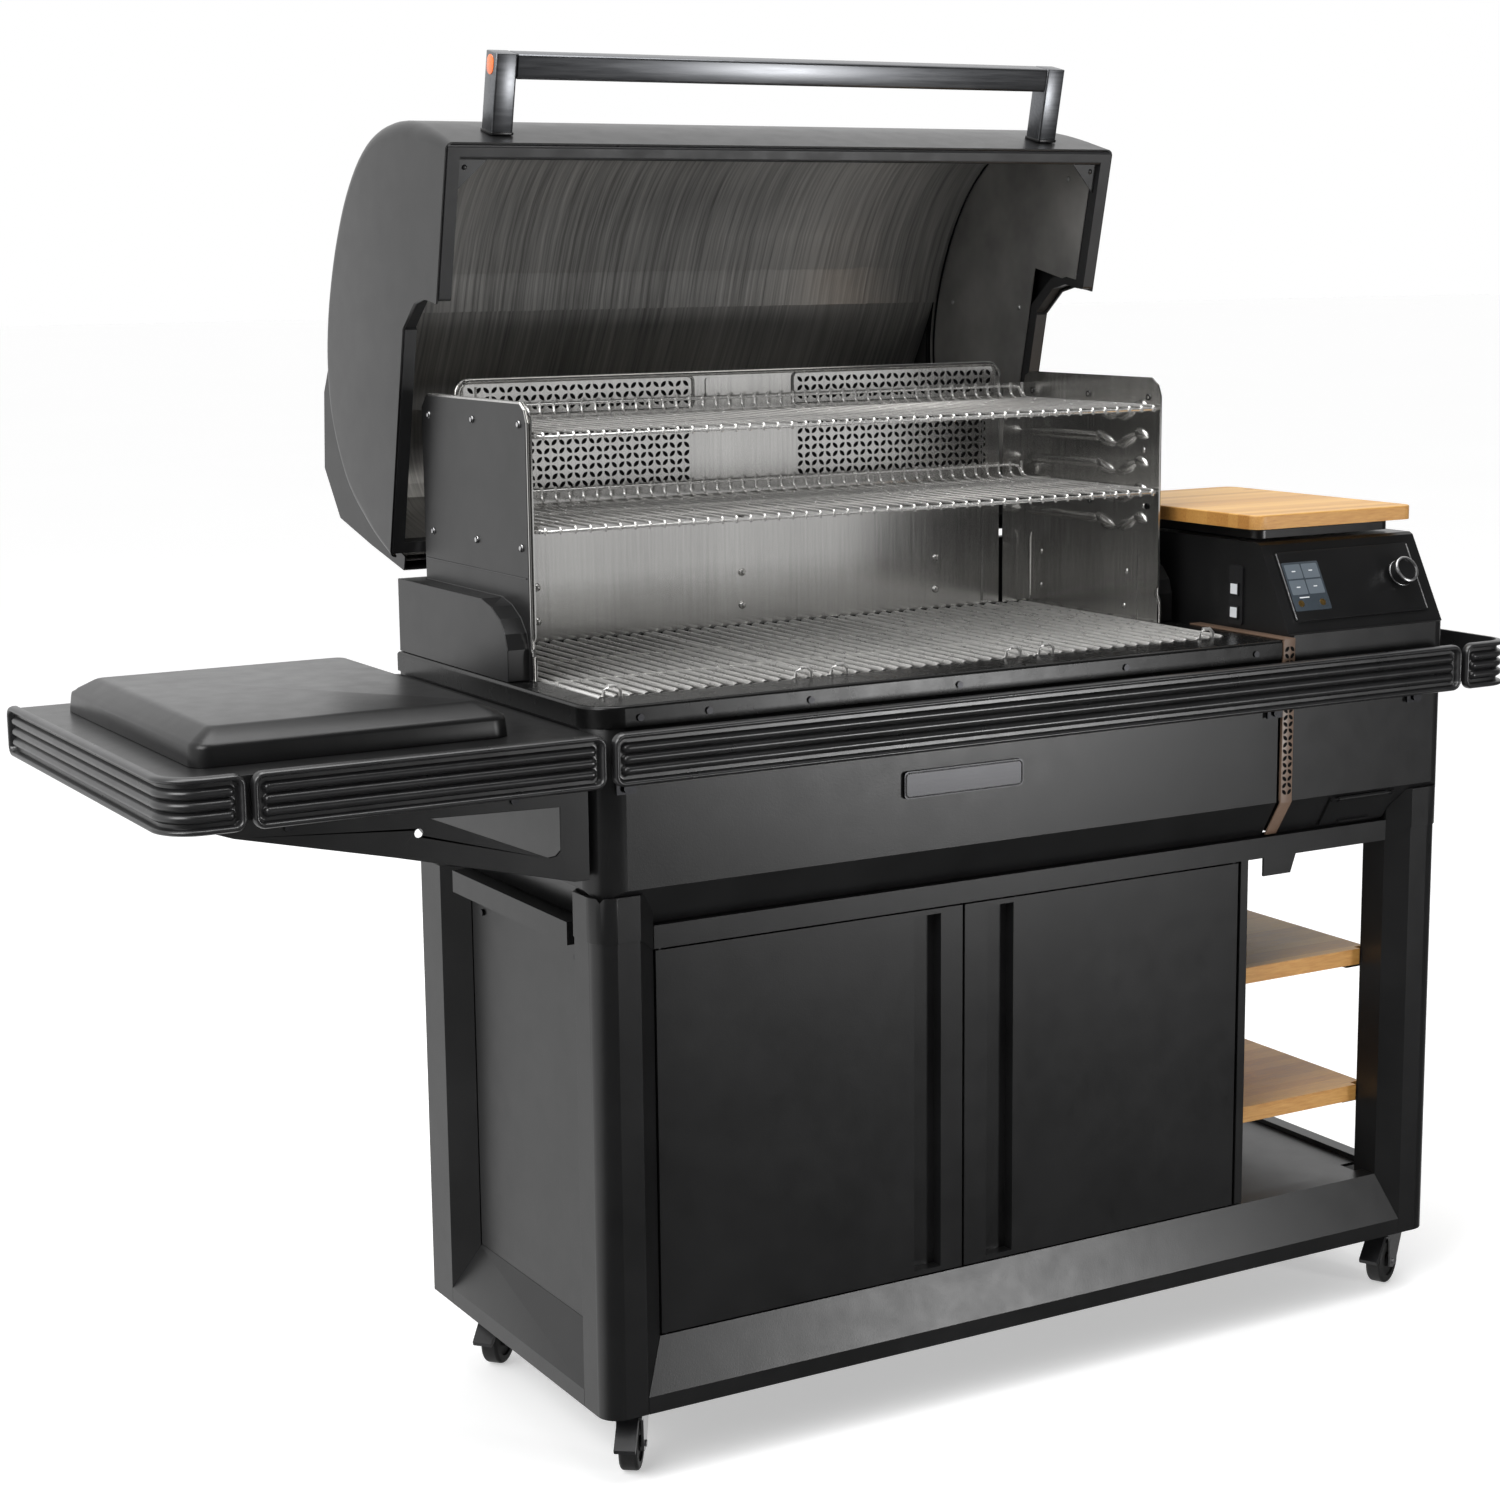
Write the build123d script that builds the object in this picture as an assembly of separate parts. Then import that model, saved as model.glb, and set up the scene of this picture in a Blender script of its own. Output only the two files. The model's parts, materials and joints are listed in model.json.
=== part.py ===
from build123d import *
import math
import os

os.makedirs("parts", exist_ok=True)

# Design coordinates, in millimetres: X from the left tip of the side shelf rail, Y from a plane
# 60 mm ahead of the cart front, Z from the ground. Every piece is shifted by the origin on export,
# so that the origin lies on the ground under the middle of the whole grill.

# Cart
CART_X0 = 489.6
CART_X1 = 1718.6
CART_Y0 = 60.0
CART_Y1 = 545.0
CART_Z0 = 82.2
POST_TOP = 643.0
POST_WIDTH = 78.0
POST_BEVEL_DEPTH = 20.0
COLLAR_STEP = 1.5
COLLAR_INNER_Z = 614.5
COLLAR_OUTER_Z = 633.0
COLLAR_TOP = 684.0
RAIL_FACE_TOP = 102.5
OPENING_Z0 = 163.7
HEADER_Z0 = 616.0

# Body
BARREL_X1 = 1440.0
HOPPER_X0 = 1463.0
BODY_Y0 = 60.0
BODY_Y1 = 590.0
BODY_Z0 = 643.0
CREASE_Z = 690.0
CREASE_DEPTH = 28.0
BODY_CORNER = 38.0
BARREL_TOP = 884.0
FLANGE_TOP = 895.0

# Cooking chamber
CHAMBER_MID = 966.5
PLATE_HALF = 445.5
PLATE_Y0 = 265.0
PLATE_Y1 = 566.0
PLATE_TOP = 1212.0
BOX_TOP = 985.0

# Lid, drawn closed and then opened about its hinge
LID_X0 = 492.0
LID_X1 = 1441.0
HOOD_X0 = 513.0
HOOD_X1 = 1420.0
HINGE_Y = 613.0
HINGE_Z = 981.0
LID_OPEN = 77.3
LID_RIM_Z = 899.0
LID_REAR_RIM_Z = 992.0
LID_SKIN = 2.5

# Hopper and controller
HOPPER_TOP = 1008.0
HOPPER_DECK = 899.0
FACE_TOP_Y = 128.0
FACE_BOTTOM_Y = 70.0

# Casters: swivel axis and the direction in which each wheel trails
WHEEL_R = 31.0
WHEEL_W = 22.0
TRAIL = 22.0
CASTERS = {
    "front_left": (556.0, 124.0, 233.0),
    "front_right": (1699.0, 113.0, 206.0),
    "rear_left": (560.0, 486.0, 221.0),
    "rear_right": (1690.0, 492.0, 206.0),
}

X_MID = 901.5
Y_MID = 450.894


def box(x0, x1, y0, y1, z0, z1):
    return Pos((x0 + x1) / 2, (y0 + y1) / 2, (z0 + z1) / 2) * Box(x1 - x0, y1 - y0, z1 - z0)


def round_box(x0, x1, y0, y1, z0, z1, radius, axis=Axis.Z):
    block = box(x0, x1, y0, y1, z0, z1)
    return fillet(block.edges().filter_by(axis), radius)


def cyl_x(x0, x1, y, z, radius):
    return Pos((x0 + x1) / 2, y, z) * Rot(0, 90, 0) * Cylinder(radius, x1 - x0)


def cyl_y(x, y0, y1, z, radius):
    return Pos(x, (y0 + y1) / 2, z) * Rot(90, 0, 0) * Cylinder(radius, y1 - y0)


def cyl_z(x, y, z0, z1, radius):
    return Pos(x, y, (z0 + z1) / 2) * Cylinder(radius, z1 - z0)


def prism(points, direction):
    face = Face(Wire.make_polygon([Vector(*p) for p in points], close=True))
    return Solid.extrude(face, Vector(*direction))


def prism_x(points, x0, x1):
    return prism([(x0, y, z) for y, z in points], (x1 - x0, 0, 0))


def prism_y(points, y0, y1):
    return prism([(x, y0, z) for x, z in points], (0, y1 - y0, 0))


def prism_z(points, z0, z1):
    return prism([(x, y, z0) for x, y in points], (0, 0, z1 - z0))


def mirror_cart(shape):
    middle = (CART_X0 + CART_X1) / 2
    return mirror(shape, Plane.YZ.offset(middle))


def mirror_chamber(shape):
    return mirror(shape, Plane.YZ.offset(CHAMBER_MID))


def save(name, shape, group=False):
    moved = Pos(-X_MID, -Y_MID, 0) * shape
    solids = moved.solids()
    if group:
        moved = Compound(children=list(solids))
    elif len(solids) != 1:
        raise ValueError(f"{name} has {len(solids)} solids")
    else:
        moved = solids[0]
    export_step(moved, f"parts/{name}.step")


# ---------------------------------------------------------------- cart


def front_left_post():
    x0, y0 = CART_X0, CART_Y0
    inner = x0 + POST_WIDTH
    outline = [
        (x0, y0), (x0 + 52, y0), (inner, y0 + POST_BEVEL_DEPTH), (inner, y0 + 60),
        (x0 + 28, y0 + 84), (x0, y0 + 58),
    ]
    post = prism_z(outline, CART_Z0, POST_TOP)
    corner = post.edges().filter_by(Axis.Z).sort_by_distance(Vector(x0, y0, 300))[0]
    post = fillet(corner, 24)
    core = prism_z(
        [(x0 + 14, y0 + 10), (x0 + 50, y0 + 4), (inner - 4, y0 + 24), (inner - 4, y0 + 57),
         (x0 + 28, y0 + 78), (x0 + 4, y0 + 54), (x0 + 4, y0 + 20)],
        CART_Z0 - 1, POST_TOP - 4)
    return post - core


def front_left_collar():
    """Sleeve round the top of a front post, its lower edge mitred along the post's bevel."""
    x0, y0 = CART_X0 - COLLAR_STEP, CART_Y0 - COLLAR_STEP
    inner = CART_X0 + POST_WIDTH
    outline = [
        (x0, y0), (CART_X0 + 52, y0), (inner, y0 + POST_BEVEL_DEPTH), (inner, y0 + 61),
        (CART_X0 + 28, y0 + 85), (x0, y0 + 59),
    ]
    sleeve = prism_z(outline, COLLAR_INNER_Z, COLLAR_TOP)
    corner = sleeve.edges().filter_by(Axis.Z).sort_by_distance(Vector(x0, y0, COLLAR_TOP))[0]
    sleeve = fillet(corner, 24 + COLLAR_STEP)
    sleeve -= prism_y(
        [(x0 - 1, COLLAR_INNER_Z - 1), (x0 - 1, COLLAR_OUTER_Z), (CART_X0 + 52, COLLAR_OUTER_Z),
         (inner + 1, COLLAR_INNER_Z), (inner + 1, COLLAR_INNER_Z - 1)], y0 - 1, y0 + 100)
    gap = 0.4
    body = prism_x(
        [(y0 + COLLAR_STEP + CREASE_DEPTH - gap, BODY_Z0 - gap), (y0 + COLLAR_STEP - gap, CREASE_Z),
         (y0 + 100, CREASE_Z), (y0 + 100, BODY_Z0 - gap)], x0 - 1, inner + 1)
    body &= prism_y(
        [(CART_X0 + CREASE_DEPTH - gap, BODY_Z0 - gap), (CART_X0 - gap, CREASE_Z),
         (inner + 1, CREASE_Z), (inner + 1, BODY_Z0 - gap)], y0 - 1, y0 + 101)
    return sleeve - body


def rear_left_post():
    x0, y1 = CART_X0, CART_Y1
    outline = [
        (x0, y1), (x0, y1 - 58), (x0 + 28, y1 - 86), (x0 + 60, y1 - 70), (x0 + 60, y1),
    ]
    core = [
        (x0 + 4, y1 - 4), (x0 + 4, y1 - 56), (x0 + 28, y1 - 80), (x0 + 56, y1 - 67), (x0 + 56, y1 - 4),
    ]
    return prism_z(outline, CART_Z0, POST_TOP) - prism_z(core, CART_Z0 - 1, POST_TOP - 4)


def corner_posts():
    front = front_left_post() + front_left_collar()
    rear = rear_left_post()
    return [front, mirror_cart(front), rear, mirror_cart(rear)]


def front_bottom_rail():
    y0 = CART_Y0
    x0 = CART_X0 + POST_WIDTH + 0.5
    x1 = CART_X1 - POST_WIDTH - 0.5
    outer = [
        (y0, CART_Z0), (y0, RAIL_FACE_TOP), (y0 + POST_BEVEL_DEPTH, OPENING_Z0),
        (y0 + 44, OPENING_Z0), (y0 + 44, CART_Z0),
    ]
    inner = [
        (y0 + 3, CART_Z0 - 1), (y0 + 3, RAIL_FACE_TOP), (y0 + POST_BEVEL_DEPTH + 2, OPENING_Z0 - 6),
        (y0 + 41, OPENING_Z0 - 6), (y0 + 41, CART_Z0 - 1),
    ]
    rail = prism_x(outer, x0 - 26, x1 + 26) - prism_x(inner, x0 + 3, x1 - 3)
    cx = CART_X0
    behind_post = prism_z(
        [(cx + 40, y0 - 0.3), (cx + 52.3, y0 - 0.3), (cx + 78.3, y0 + 19.7), (cx + 78.5, y0 + 45),
         (cx + 40, y0 + 45)], CART_Z0 - 2, OPENING_Z0 + 2)
    rail -= behind_post
    rail -= mirror_cart(behind_post)
    rail -= cyl_z(DOOR_PIN_LEFT, DOOR_PIN_Y, OPENING_Z0 - 7, OPENING_Z0 + 1, DOOR_PIN_R + RUNNING_GAP)
    rail -= cyl_z(DOOR_PIN_RIGHT, DOOR_PIN_Y, OPENING_Z0 - 7, OPENING_Z0 + 1, DOOR_PIN_R + RUNNING_GAP)
    return rail


def rear_bottom_rail():
    x0 = CART_X0 + 61
    x1 = CART_X1 - 61
    rail = box(x0, x1, CART_Y1 - 40, CART_Y1, CART_Z0, 122)
    return rail - box(x0 + 3, x1 - 3, CART_Y1 - 37, CART_Y1 - 3, CART_Z0 - 1, 119)


def left_bottom_rail():
    x0 = CART_X0
    outer = [
        (x0, CART_Z0), (x0, RAIL_FACE_TOP), (x0 + 29, OPENING_Z0), (x0 + 50, OPENING_Z0),
        (x0 + 50, CART_Z0),
    ]
    inner = [
        (x0 + 3, CART_Z0 - 1), (x0 + 3, RAIL_FACE_TOP), (x0 + 30, OPENING_Z0 - 4),
        (x0 + 47, OPENING_Z0 - 4), (x0 + 47, CART_Z0 - 1),
    ]
    y0 = CART_Y0
    y1 = CART_Y1
    rail = prism_y(outer, y0 + 52, y1 - 52) - prism_y(inner, y0 + 88, y1 - 90)
    rail -= prism_z(
        [(x0 - 5, y0 + 53.9), (x0 + 27.7, y0 + 84.5), (x0 + 55, y0 + 84.5), (x0 + 55, y0 + 50),
         (x0 - 5, y0 + 50)], CART_Z0 - 2, OPENING_Z0 + 2)
    rail -= prism_z(
        [(x0 - 5, y1 - 53.6), (x0 + 27.8, y1 - 86.5), (x0 + 55, y1 - 86.5), (x0 + 55, y1 - 50),
         (x0 - 5, y1 - 50)], CART_Z0 - 2, OPENING_Z0 + 2)
    return rail


def header_rail():
    x0 = CART_X0 + POST_WIDTH + 0.5
    x1 = CART_X1 - POST_WIDTH - 0.5
    rail = box(x0, x1, CART_Y0 + 18, CART_Y0 + 44, HEADER_Z0, POST_TOP - 0.5)
    for pin_x in (DOOR_PIN_LEFT, DOOR_PIN_RIGHT):
        rail -= cyl_z(pin_x, DOOR_PIN_Y, HEADER_Z0 - 1, HEADER_Z0 + 9, DOOR_PIN_R + RUNNING_GAP)
    tab = prism_y([(1438, HEADER_Z0 + 1), (1438, 592), (1482, 592), (1491, HEADER_Z0 + 1)],
                  CART_Y0 + 19, CART_Y0 + 22)
    return rail + tab


def rear_header_rail():
    return box(CART_X0 + 61, CART_X1 - 61, CART_Y1 - 30, CART_Y1, HEADER_Z0, POST_TOP - 0.5)


def side_header_rail():
    return box(CART_X0 + 4, CART_X0 + 30, CART_Y0 + 85, CART_Y1 - 87, HEADER_Z0, POST_TOP - 0.5)


def frame_rails():
    left = left_bottom_rail()
    side = side_header_rail()
    return [
        front_bottom_rail(), rear_bottom_rail(), left, mirror_cart(left), header_rail(),
        rear_header_rail(), side, mirror_cart(side),
    ] + shelf_supports()


FLOOR_Z0 = 153.0
FLOOR_Z1 = 157.0
DIVIDER_X0 = 1404.0
DIVIDER_X1 = 1416.0


def floor_plate():
    plate = box(CART_X0 + 52, CART_X1 - 52, CART_Y0 + 46, CART_Y1 - 1, FLOOR_Z0, FLOOR_Z1)
    plate -= box(CART_X0 + 45, CART_X0 + 61.5, CART_Y1 - 88, CART_Y1, FLOOR_Z0 - 1, FLOOR_Z1 + 1)
    plate -= box(CART_X1 - 61.5, CART_X1 - 45, CART_Y1 - 88, CART_Y1, FLOOR_Z0 - 1, FLOOR_Z1 + 1)
    for x0, x1 in ((CART_X0 + 40, CART_X0 + 79), (CART_X1 - 79, CART_X1 - 40)):
        plate -= box(x0, x1, CART_Y0 + 40, CART_Y0 + 86, FLOOR_Z0 - 1, FLOOR_Z1 + 1)
    slot = round_box(1470, 1488, 180, 420, FLOOR_Z0 - 1, FLOOR_Z1 + 1, 8)
    return plate - slot


def left_side_panel():
    panel = box(CART_X0 + 28.5, CART_X0 + 31, CART_Y0 + 86, CART_Y1 - 88, OPENING_Z0 + 0.5, HEADER_Z0 - 0.5)
    return panel


def divider_panel():
    panel = box(DIVIDER_X0, DIVIDER_X1, CART_Y0 + 22, CART_Y1 - 42, OPENING_Z0 + 0.5, HEADER_Z0 - 0.5)
    panel += box(DIVIDER_X0, DIVIDER_X1, CART_Y0 + 45, CART_Y1 - 42, FLOOR_Z1 + 0.5, OPENING_Z0 + 1)
    inner = box(DIVIDER_X0 + 2, DIVIDER_X1 - 2, CART_Y0 + 47, CART_Y1 - 44, FLOOR_Z1 + 3, HEADER_Z0 - 4)
    return panel - inner


def rear_panel():
    return box(CART_X0 + 61, DIVIDER_X1 - 4, CART_Y1 - 38, CART_Y1 - 36, FLOOR_Z1 + 0.5, HEADER_Z0 - 0.5)


def cabinet_panels():
    return [left_side_panel(), divider_panel(), rear_panel()]


SHELF_X0 = DIVIDER_X1 + 2
SHELF_X1 = 1655.0
SHELF_Y0 = 118.0
SHELF_Y1 = 500.0
SHELF_T = 21.0
SHELF_TOPS = (463.0, 277.0)


def bamboo_shelves():
    boards = []
    for top in SHELF_TOPS:
        board = round_box(SHELF_X0, SHELF_X1, SHELF_Y0, SHELF_Y1, top - SHELF_T, top, 4)
        boards.append(board - box(1638, 1660, SHELF_Y0 - 5, 129, top - SHELF_T - 1, top + 1))
    return boards


def shelf_supports():
    bars = []
    for top in SHELF_TOPS:
        z1 = top - SHELF_T - 0.4
        bars.append(box(DIVIDER_X1 + 0.5, DIVIDER_X1 + 18, 140, 480, z1 - 12, z1))
        bars.append(box(SHELF_X1 - 14, CART_X1 - 31, 146, 458, z1 - 12, z1))
    return bars


# ---------------------------------------------------------------- body


def body_profile(y1):
    return [
        (BODY_Y0, BARREL_TOP), (BODY_Y0, CREASE_Z), (BODY_Y0 + CREASE_DEPTH, BODY_Z0),
        (y1 - 40, BODY_Z0), (y1, CREASE_Z), (y1, BARREL_TOP),
    ]


def end_outline(x0, x1, wall, bevel_left, bevel_right):
    """Front outline of a body end, bevelled below the crease on the chosen sides."""
    low = BODY_Z0 + wall
    crease = CREASE_Z + (1 if wall else 0)
    left = [(x0, crease), (x0 + CREASE_DEPTH, low)] if bevel_left else [(x0, low)]
    right = [(x1 - CREASE_DEPTH, low), (x1, crease)] if bevel_right else [(x1, low)]
    points = [(x0, HOPPER_TOP + 20)] + left + right + [(x1, HOPPER_TOP + 20)]
    return prism_y(points, BODY_Y0 - 20, BODY_Y1 + 20)


AUGER_Y = 330.0
AUGER_Z = 716.0
AUGER_TUBE_R = 30.0
KEG_X0, KEG_X1, KEG_Y0, KEG_Y1 = 1010.0, 1190.0, 200.0, 420.0
KEG_Z0, KEG_Z1 = 400.0, 632.0
DRAIN_X, DRAIN_Y = 1100.0, 310.0


def barrel_shell():
    shell = prism_x(body_profile(BODY_Y1), CART_X0, BARREL_X1)
    corners = shell.edges().filter_by(Axis.Z).group_by(Axis.Y)[0].group_by(Axis.X)[0]
    shell = fillet(corners, BODY_CORNER)
    y0, y1 = BODY_Y0 + 3, BODY_Y1 - 3
    inner = [
        (y0, BARREL_TOP + 5), (y0, CREASE_Z + 1), (y0 + CREASE_DEPTH, BODY_Z0 + 3),
        (y1 - 40, BODY_Z0 + 3), (y1, CREASE_Z + 1), (y1, BARREL_TOP + 5),
    ]
    cavity = prism_x(inner, CART_X0 + 3, BARREL_X1 - 3)
    edge = cavity.edges().filter_by(Axis.Z).group_by(Axis.Y)[0].group_by(Axis.X)[0]
    cavity = fillet(edge, BODY_CORNER - 3)
    shell &= end_outline(CART_X0, BARREL_X1, 0, True, False)
    shell -= cavity & end_outline(CART_X0 + 3, BARREL_X1 - 3, 3, True, False)
    shell -= cyl_x(BARREL_X1 - 10, BARREL_X1 + 10, AUGER_Y, AUGER_Z, AUGER_TUBE_R + 0.5)
    shell -= cyl_z(DRAIN_X, DRAIN_Y, BODY_Z0 - 5, BODY_Z0 + 10, 28)
    for x0, x1 in ((KEG_X0 - 6, KEG_X0 - 2), (KEG_X1 + 2, KEG_X1 + 6)):
        shell += box(x0, x1, KEG_Y0, KEG_Y1, KEG_Z1 - 16, BODY_Z0 + 1)
    shell += box(KEG_X0 - 6, KEG_X0 + 6, KEG_Y0, KEG_Y1, KEG_Z1 - 16, KEG_Z1 - 13)
    shell += box(KEG_X1 - 6, KEG_X1 + 6, KEG_Y0, KEG_Y1, KEG_Z1 - 16, KEG_Z1 - 13)
    return shell


GRATE_X0 = 528.0
GRATE_X1 = 1405.0
GRATE_Y0 = 124.0
GRATE_Y1 = 560.0
GRATE_TOP = 897.0
GRATE_T = 7.0


def chamber_flange():
    x0, x1, y0, y1 = CART_X0 - 2.5, BARREL_X1 + 2.5, BODY_Y0 - 2.5, BODY_Y1 + 2.5
    outer = box(x0, x1, y0, y1, 871, FLANGE_TOP)
    corner = outer.edges().filter_by(Axis.Z).group_by(Axis.Y)[0].group_by(Axis.X)[0]
    outer = fillet(corner, BODY_CORNER + 2)
    top_edges = outer.edges().group_by(Axis.Z)[-1]
    outer = fillet(top_edges, 4)
    under = box(x0 + 2.2, x1 - 2.2, y0 + 2.2, y1 - 2.2, 860, 890)
    corner = under.edges().filter_by(Axis.Z).group_by(Axis.Y)[0].group_by(Axis.X)[0]
    under = fillet(corner, BODY_CORNER - 0.5)
    ring = outer - under
    ring -= box(GRATE_X0 - 3, GRATE_X1 + 3, GRATE_Y0 - 4, GRATE_Y1 + 4, 880, 900)
    lip_x0, lip_x1, lip_y0, lip_y1 = GRATE_X0 - 5, GRATE_X1 + 5, GRATE_Y0 - 6, GRATE_Y1 + 6
    lip = box(lip_x0, lip_x1, lip_y0, lip_y1, 886, 890.2)
    lip -= box(lip_x0 + 14, lip_x1 - 14, lip_y0 + 14, lip_y1 - 14, 880, 900)
    return ring + lip


def side_box():
    x0 = 490.5
    x1 = CHAMBER_MID - PLATE_HALF - 0.6
    profile = [
        (276, FLANGE_TOP + 0.5), (276, 932), (282, 950), (296, 966), (318, 978), (345, BOX_TOP),
        (592, BOX_TOP), (592, FLANGE_TOP + 0.5),
    ]
    body = prism_x(profile, x0, x1)
    inner = [
        (279, FLANGE_TOP - 1), (279, 932), (285, 948), (298, 963), (319, 975), (346, BOX_TOP - 3),
        (589, BOX_TOP - 3), (589, FLANGE_TOP - 1),
    ]
    body -= prism_x(inner, x0 + 2.5, x1 - 2.5)
    skin = [
        (PLATE_Y0 + 8, FLANGE_TOP + 0.5), (PLATE_Y0 + 8, PLATE_TOP - 20), (PLATE_Y0 + 20, PLATE_TOP - 2),
        (PLATE_Y1 - 16, PLATE_TOP - 2), (PLATE_Y1, PLATE_TOP - 18), (PLATE_Y1, FLANGE_TOP + 0.5),
    ]
    body += prism_x(skin, x1 - 2.5, x1)
    return body


def upper_frame():
    left = side_box()
    beam = box(CHAMBER_MID - PLATE_HALF - 3, CHAMBER_MID + PLATE_HALF + 3, 572, 592,
               FLANGE_TOP + 0.5, BOX_TOP)
    beam -= box(CHAMBER_MID - PLATE_HALF, CHAMBER_MID + PLATE_HALF, 574.5, 589.5,
                FLANGE_TOP - 1, BOX_TOP - 2.5)
    return left + mirror_chamber(left) + beam


RACK_RIB_TOPS = (1172.0, 1136.0, 1100.0, 1065.0, 1028.0)


def side_liner():
    x0 = CHAMBER_MID - PLATE_HALF
    z0 = FLANGE_TOP + 0.6
    profile = [
        (PLATE_Y0, z0), (PLATE_Y0, PLATE_TOP - 18), (PLATE_Y0 + 18, PLATE_TOP),
        (PLATE_Y1 - 16, PLATE_TOP), (PLATE_Y1, PLATE_TOP - 16), (PLATE_Y1, z0),
    ]
    plate = prism_x(profile, x0, x0 + 2)
    hem = [
        (PLATE_Y0 - 1, z0), (PLATE_Y0 - 1, PLATE_TOP - 18), (PLATE_Y0 + 4, PLATE_TOP - 12),
        (PLATE_Y0 + 7, PLATE_TOP - 12), (PLATE_Y0 + 7, z0),
    ]
    plate += prism_x(hem, x0 - 8, x0 + 2)
    plate += box(x0, x0 + 38, PLATE_Y1 - 2, PLATE_Y1, z0, PLATE_TOP - 18)
    for top in RACK_RIB_TOPS:
        rib = [(x0 + 1, top - 10), (x0 + 6, top - 8), (x0 + 6, top), (x0 + 1, top)]
        plate += prism_y(rib, PLATE_Y0 + 25, PLATE_Y1 - 8)
    return plate


def side_liners():
    left = side_liner()
    return [left, mirror_chamber(left)]


WALL_HALF = 404.0
WALL_TOP = 1226.0
WALL_VENTS = ((580, 888), (1046, 1354))


def chamber_back_wall():
    y = PLATE_Y1 + 0.6
    z0 = FLANGE_TOP + 0.6
    x0, x1 = CHAMBER_MID - WALL_HALF, CHAMBER_MID + WALL_HALF
    wall = box(x0, x1, y, y + 1.6, z0, WALL_TOP)
    top = wall.edges().filter_by(Axis.Y).group_by(Axis.Z)[-1]
    wall = fillet(top, 18)
    rim = box(x0, x1, y - 5, y, z0 + 240, WALL_TOP)
    rim = fillet(rim.edges().filter_by(Axis.Y).group_by(Axis.Z)[-1], 18)
    hole = box(x0 + 6, x1 - 6, y - 6, y + 1, z0 + 200, WALL_TOP - 6)
    hole = fillet(hole.edges().filter_by(Axis.Y).group_by(Axis.Z)[-1], 12)
    wall += rim - hole
    for x0, x1 in WALL_VENTS:
        for step in range(2):
            z = 1187 + step * 15
            wall -= round_box(x0, x1, y - 1, y + 3, z, z + 7, 3, Axis.Y)
        for step in range(5):
            z = 1090 + step * 14
            wall -= round_box(x0 + 8, x1 - 8, y - 1, y + 3, z, z + 7, 3, Axis.Y)
    return wall


def heat_baffle():
    roof = [(150, 806), (325, 836), (500, 806), (500, 803), (325, 833), (150, 803)]
    baffle = prism_x(roof, 560, 1380)
    for x in (600, 1340):
        baffle += box(x - 10, x + 10, 150, 153, BODY_Z0 + 3.2, 806)
        baffle += box(x - 10, x + 10, 497, 500, BODY_Z0 + 3.2, 806)
    return baffle


def drip_tray():
    tray = box(545, 1390, 135, 548, 852, 866) - box(547, 1388, 137, 546, 854, 870)
    for x in (640, 1290):
        tray += box(x - 8, x + 8, 300, 350, 838.5, 853)
    return tray - cyl_z(1100, 330, 840, 870, 14)


def fire_pot():
    x, y = 966.5, AUGER_Y
    pot = cyl_z(x, y, BODY_Z0 + 3.3, 770, 62) - cyl_z(x, y, BODY_Z0 + 7, 780, 58)
    pot -= cyl_x(x + 40, x + 80, AUGER_Y, AUGER_Z, AUGER_TUBE_R + 0.4)
    pot -= cyl_x(x - 80, x - 40, AUGER_Y, 690, 5.3)
    igniter = cyl_x(x - 110, x - 30, AUGER_Y, 690, 5)
    return [pot, igniter]


AUGER_X0 = 1010.0
AUGER_X1 = 1560.0


def auger_tube():
    tube = cyl_x(AUGER_X0, AUGER_X1, AUGER_Y, AUGER_Z, AUGER_TUBE_R)
    tube -= cyl_x(AUGER_X0 - 1, AUGER_X1 + 1, AUGER_Y, AUGER_Z, AUGER_TUBE_R - 2)
    return tube - box(1490, 1550, AUGER_Y - 22, AUGER_Y + 22, AUGER_Z + 10, AUGER_Z + 40)


def auger_screw():
    screw = cyl_x(AUGER_X0 + 10, AUGER_X1 + 22, AUGER_Y, AUGER_Z, 7)
    for step in range(15):
        x = AUGER_X0 + 25 + step * 36
        blade = Pos(x, AUGER_Y, AUGER_Z) * Rot(0, 90, 0) * Rot(20, 0, 0) * Cylinder(24, 3)
        screw += blade
    return screw


def auger_motor():
    body = round_box(1565, 1655, AUGER_Y - 45, AUGER_Y + 45, AUGER_Z - 40, AUGER_Z + 40, 8, Axis.X)
    return body - cyl_x(1560, 1590, AUGER_Y, AUGER_Z, 7.06)


FAN_X, FAN_Z = 1590.0, 716.0
FAN_Y0, FAN_Y1 = 470.0, 530.0


def fan_housing():
    shell = cyl_y(FAN_X, FAN_Y0, FAN_Y1, FAN_Z, 60) - cyl_y(FAN_X, FAN_Y0 + 3, FAN_Y1 - 3, FAN_Z, 57)
    shell -= cyl_y(FAN_X, FAN_Y0 - 1, FAN_Y0 + 5, FAN_Z, 32)
    shell += cyl_y(FAN_X, FAN_Y1 - 4, FAN_Y1 + 30, FAN_Z, 26)
    return shell - cyl_y(FAN_X, FAN_Y1 - 10, FAN_Y1 + 12, FAN_Z, 4.06)


def fan_rotor():
    rotor = cyl_y(FAN_X, FAN_Y0 + 12, FAN_Y1 + 10, FAN_Z, 4)
    rotor += cyl_y(FAN_X, FAN_Y1 - 12, FAN_Y1 - 9, FAN_Z, 50)
    for step in range(8):
        blade = box(FAN_X + 24, FAN_X + 48, FAN_Y0 + 14, FAN_Y1 - 10, FAN_Z - 1, FAN_Z + 1)
        rotor += blade.rotate(Axis((FAN_X, 0, FAN_Z), (0, 1, 0)), 45 * step)
    return rotor


# ---------------------------------------------------------------- hopper end

BIN_X0, BIN_X1, BIN_Y0, BIN_Y1 = 1486.0, 1690.0, 176.0, 486.0


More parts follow.
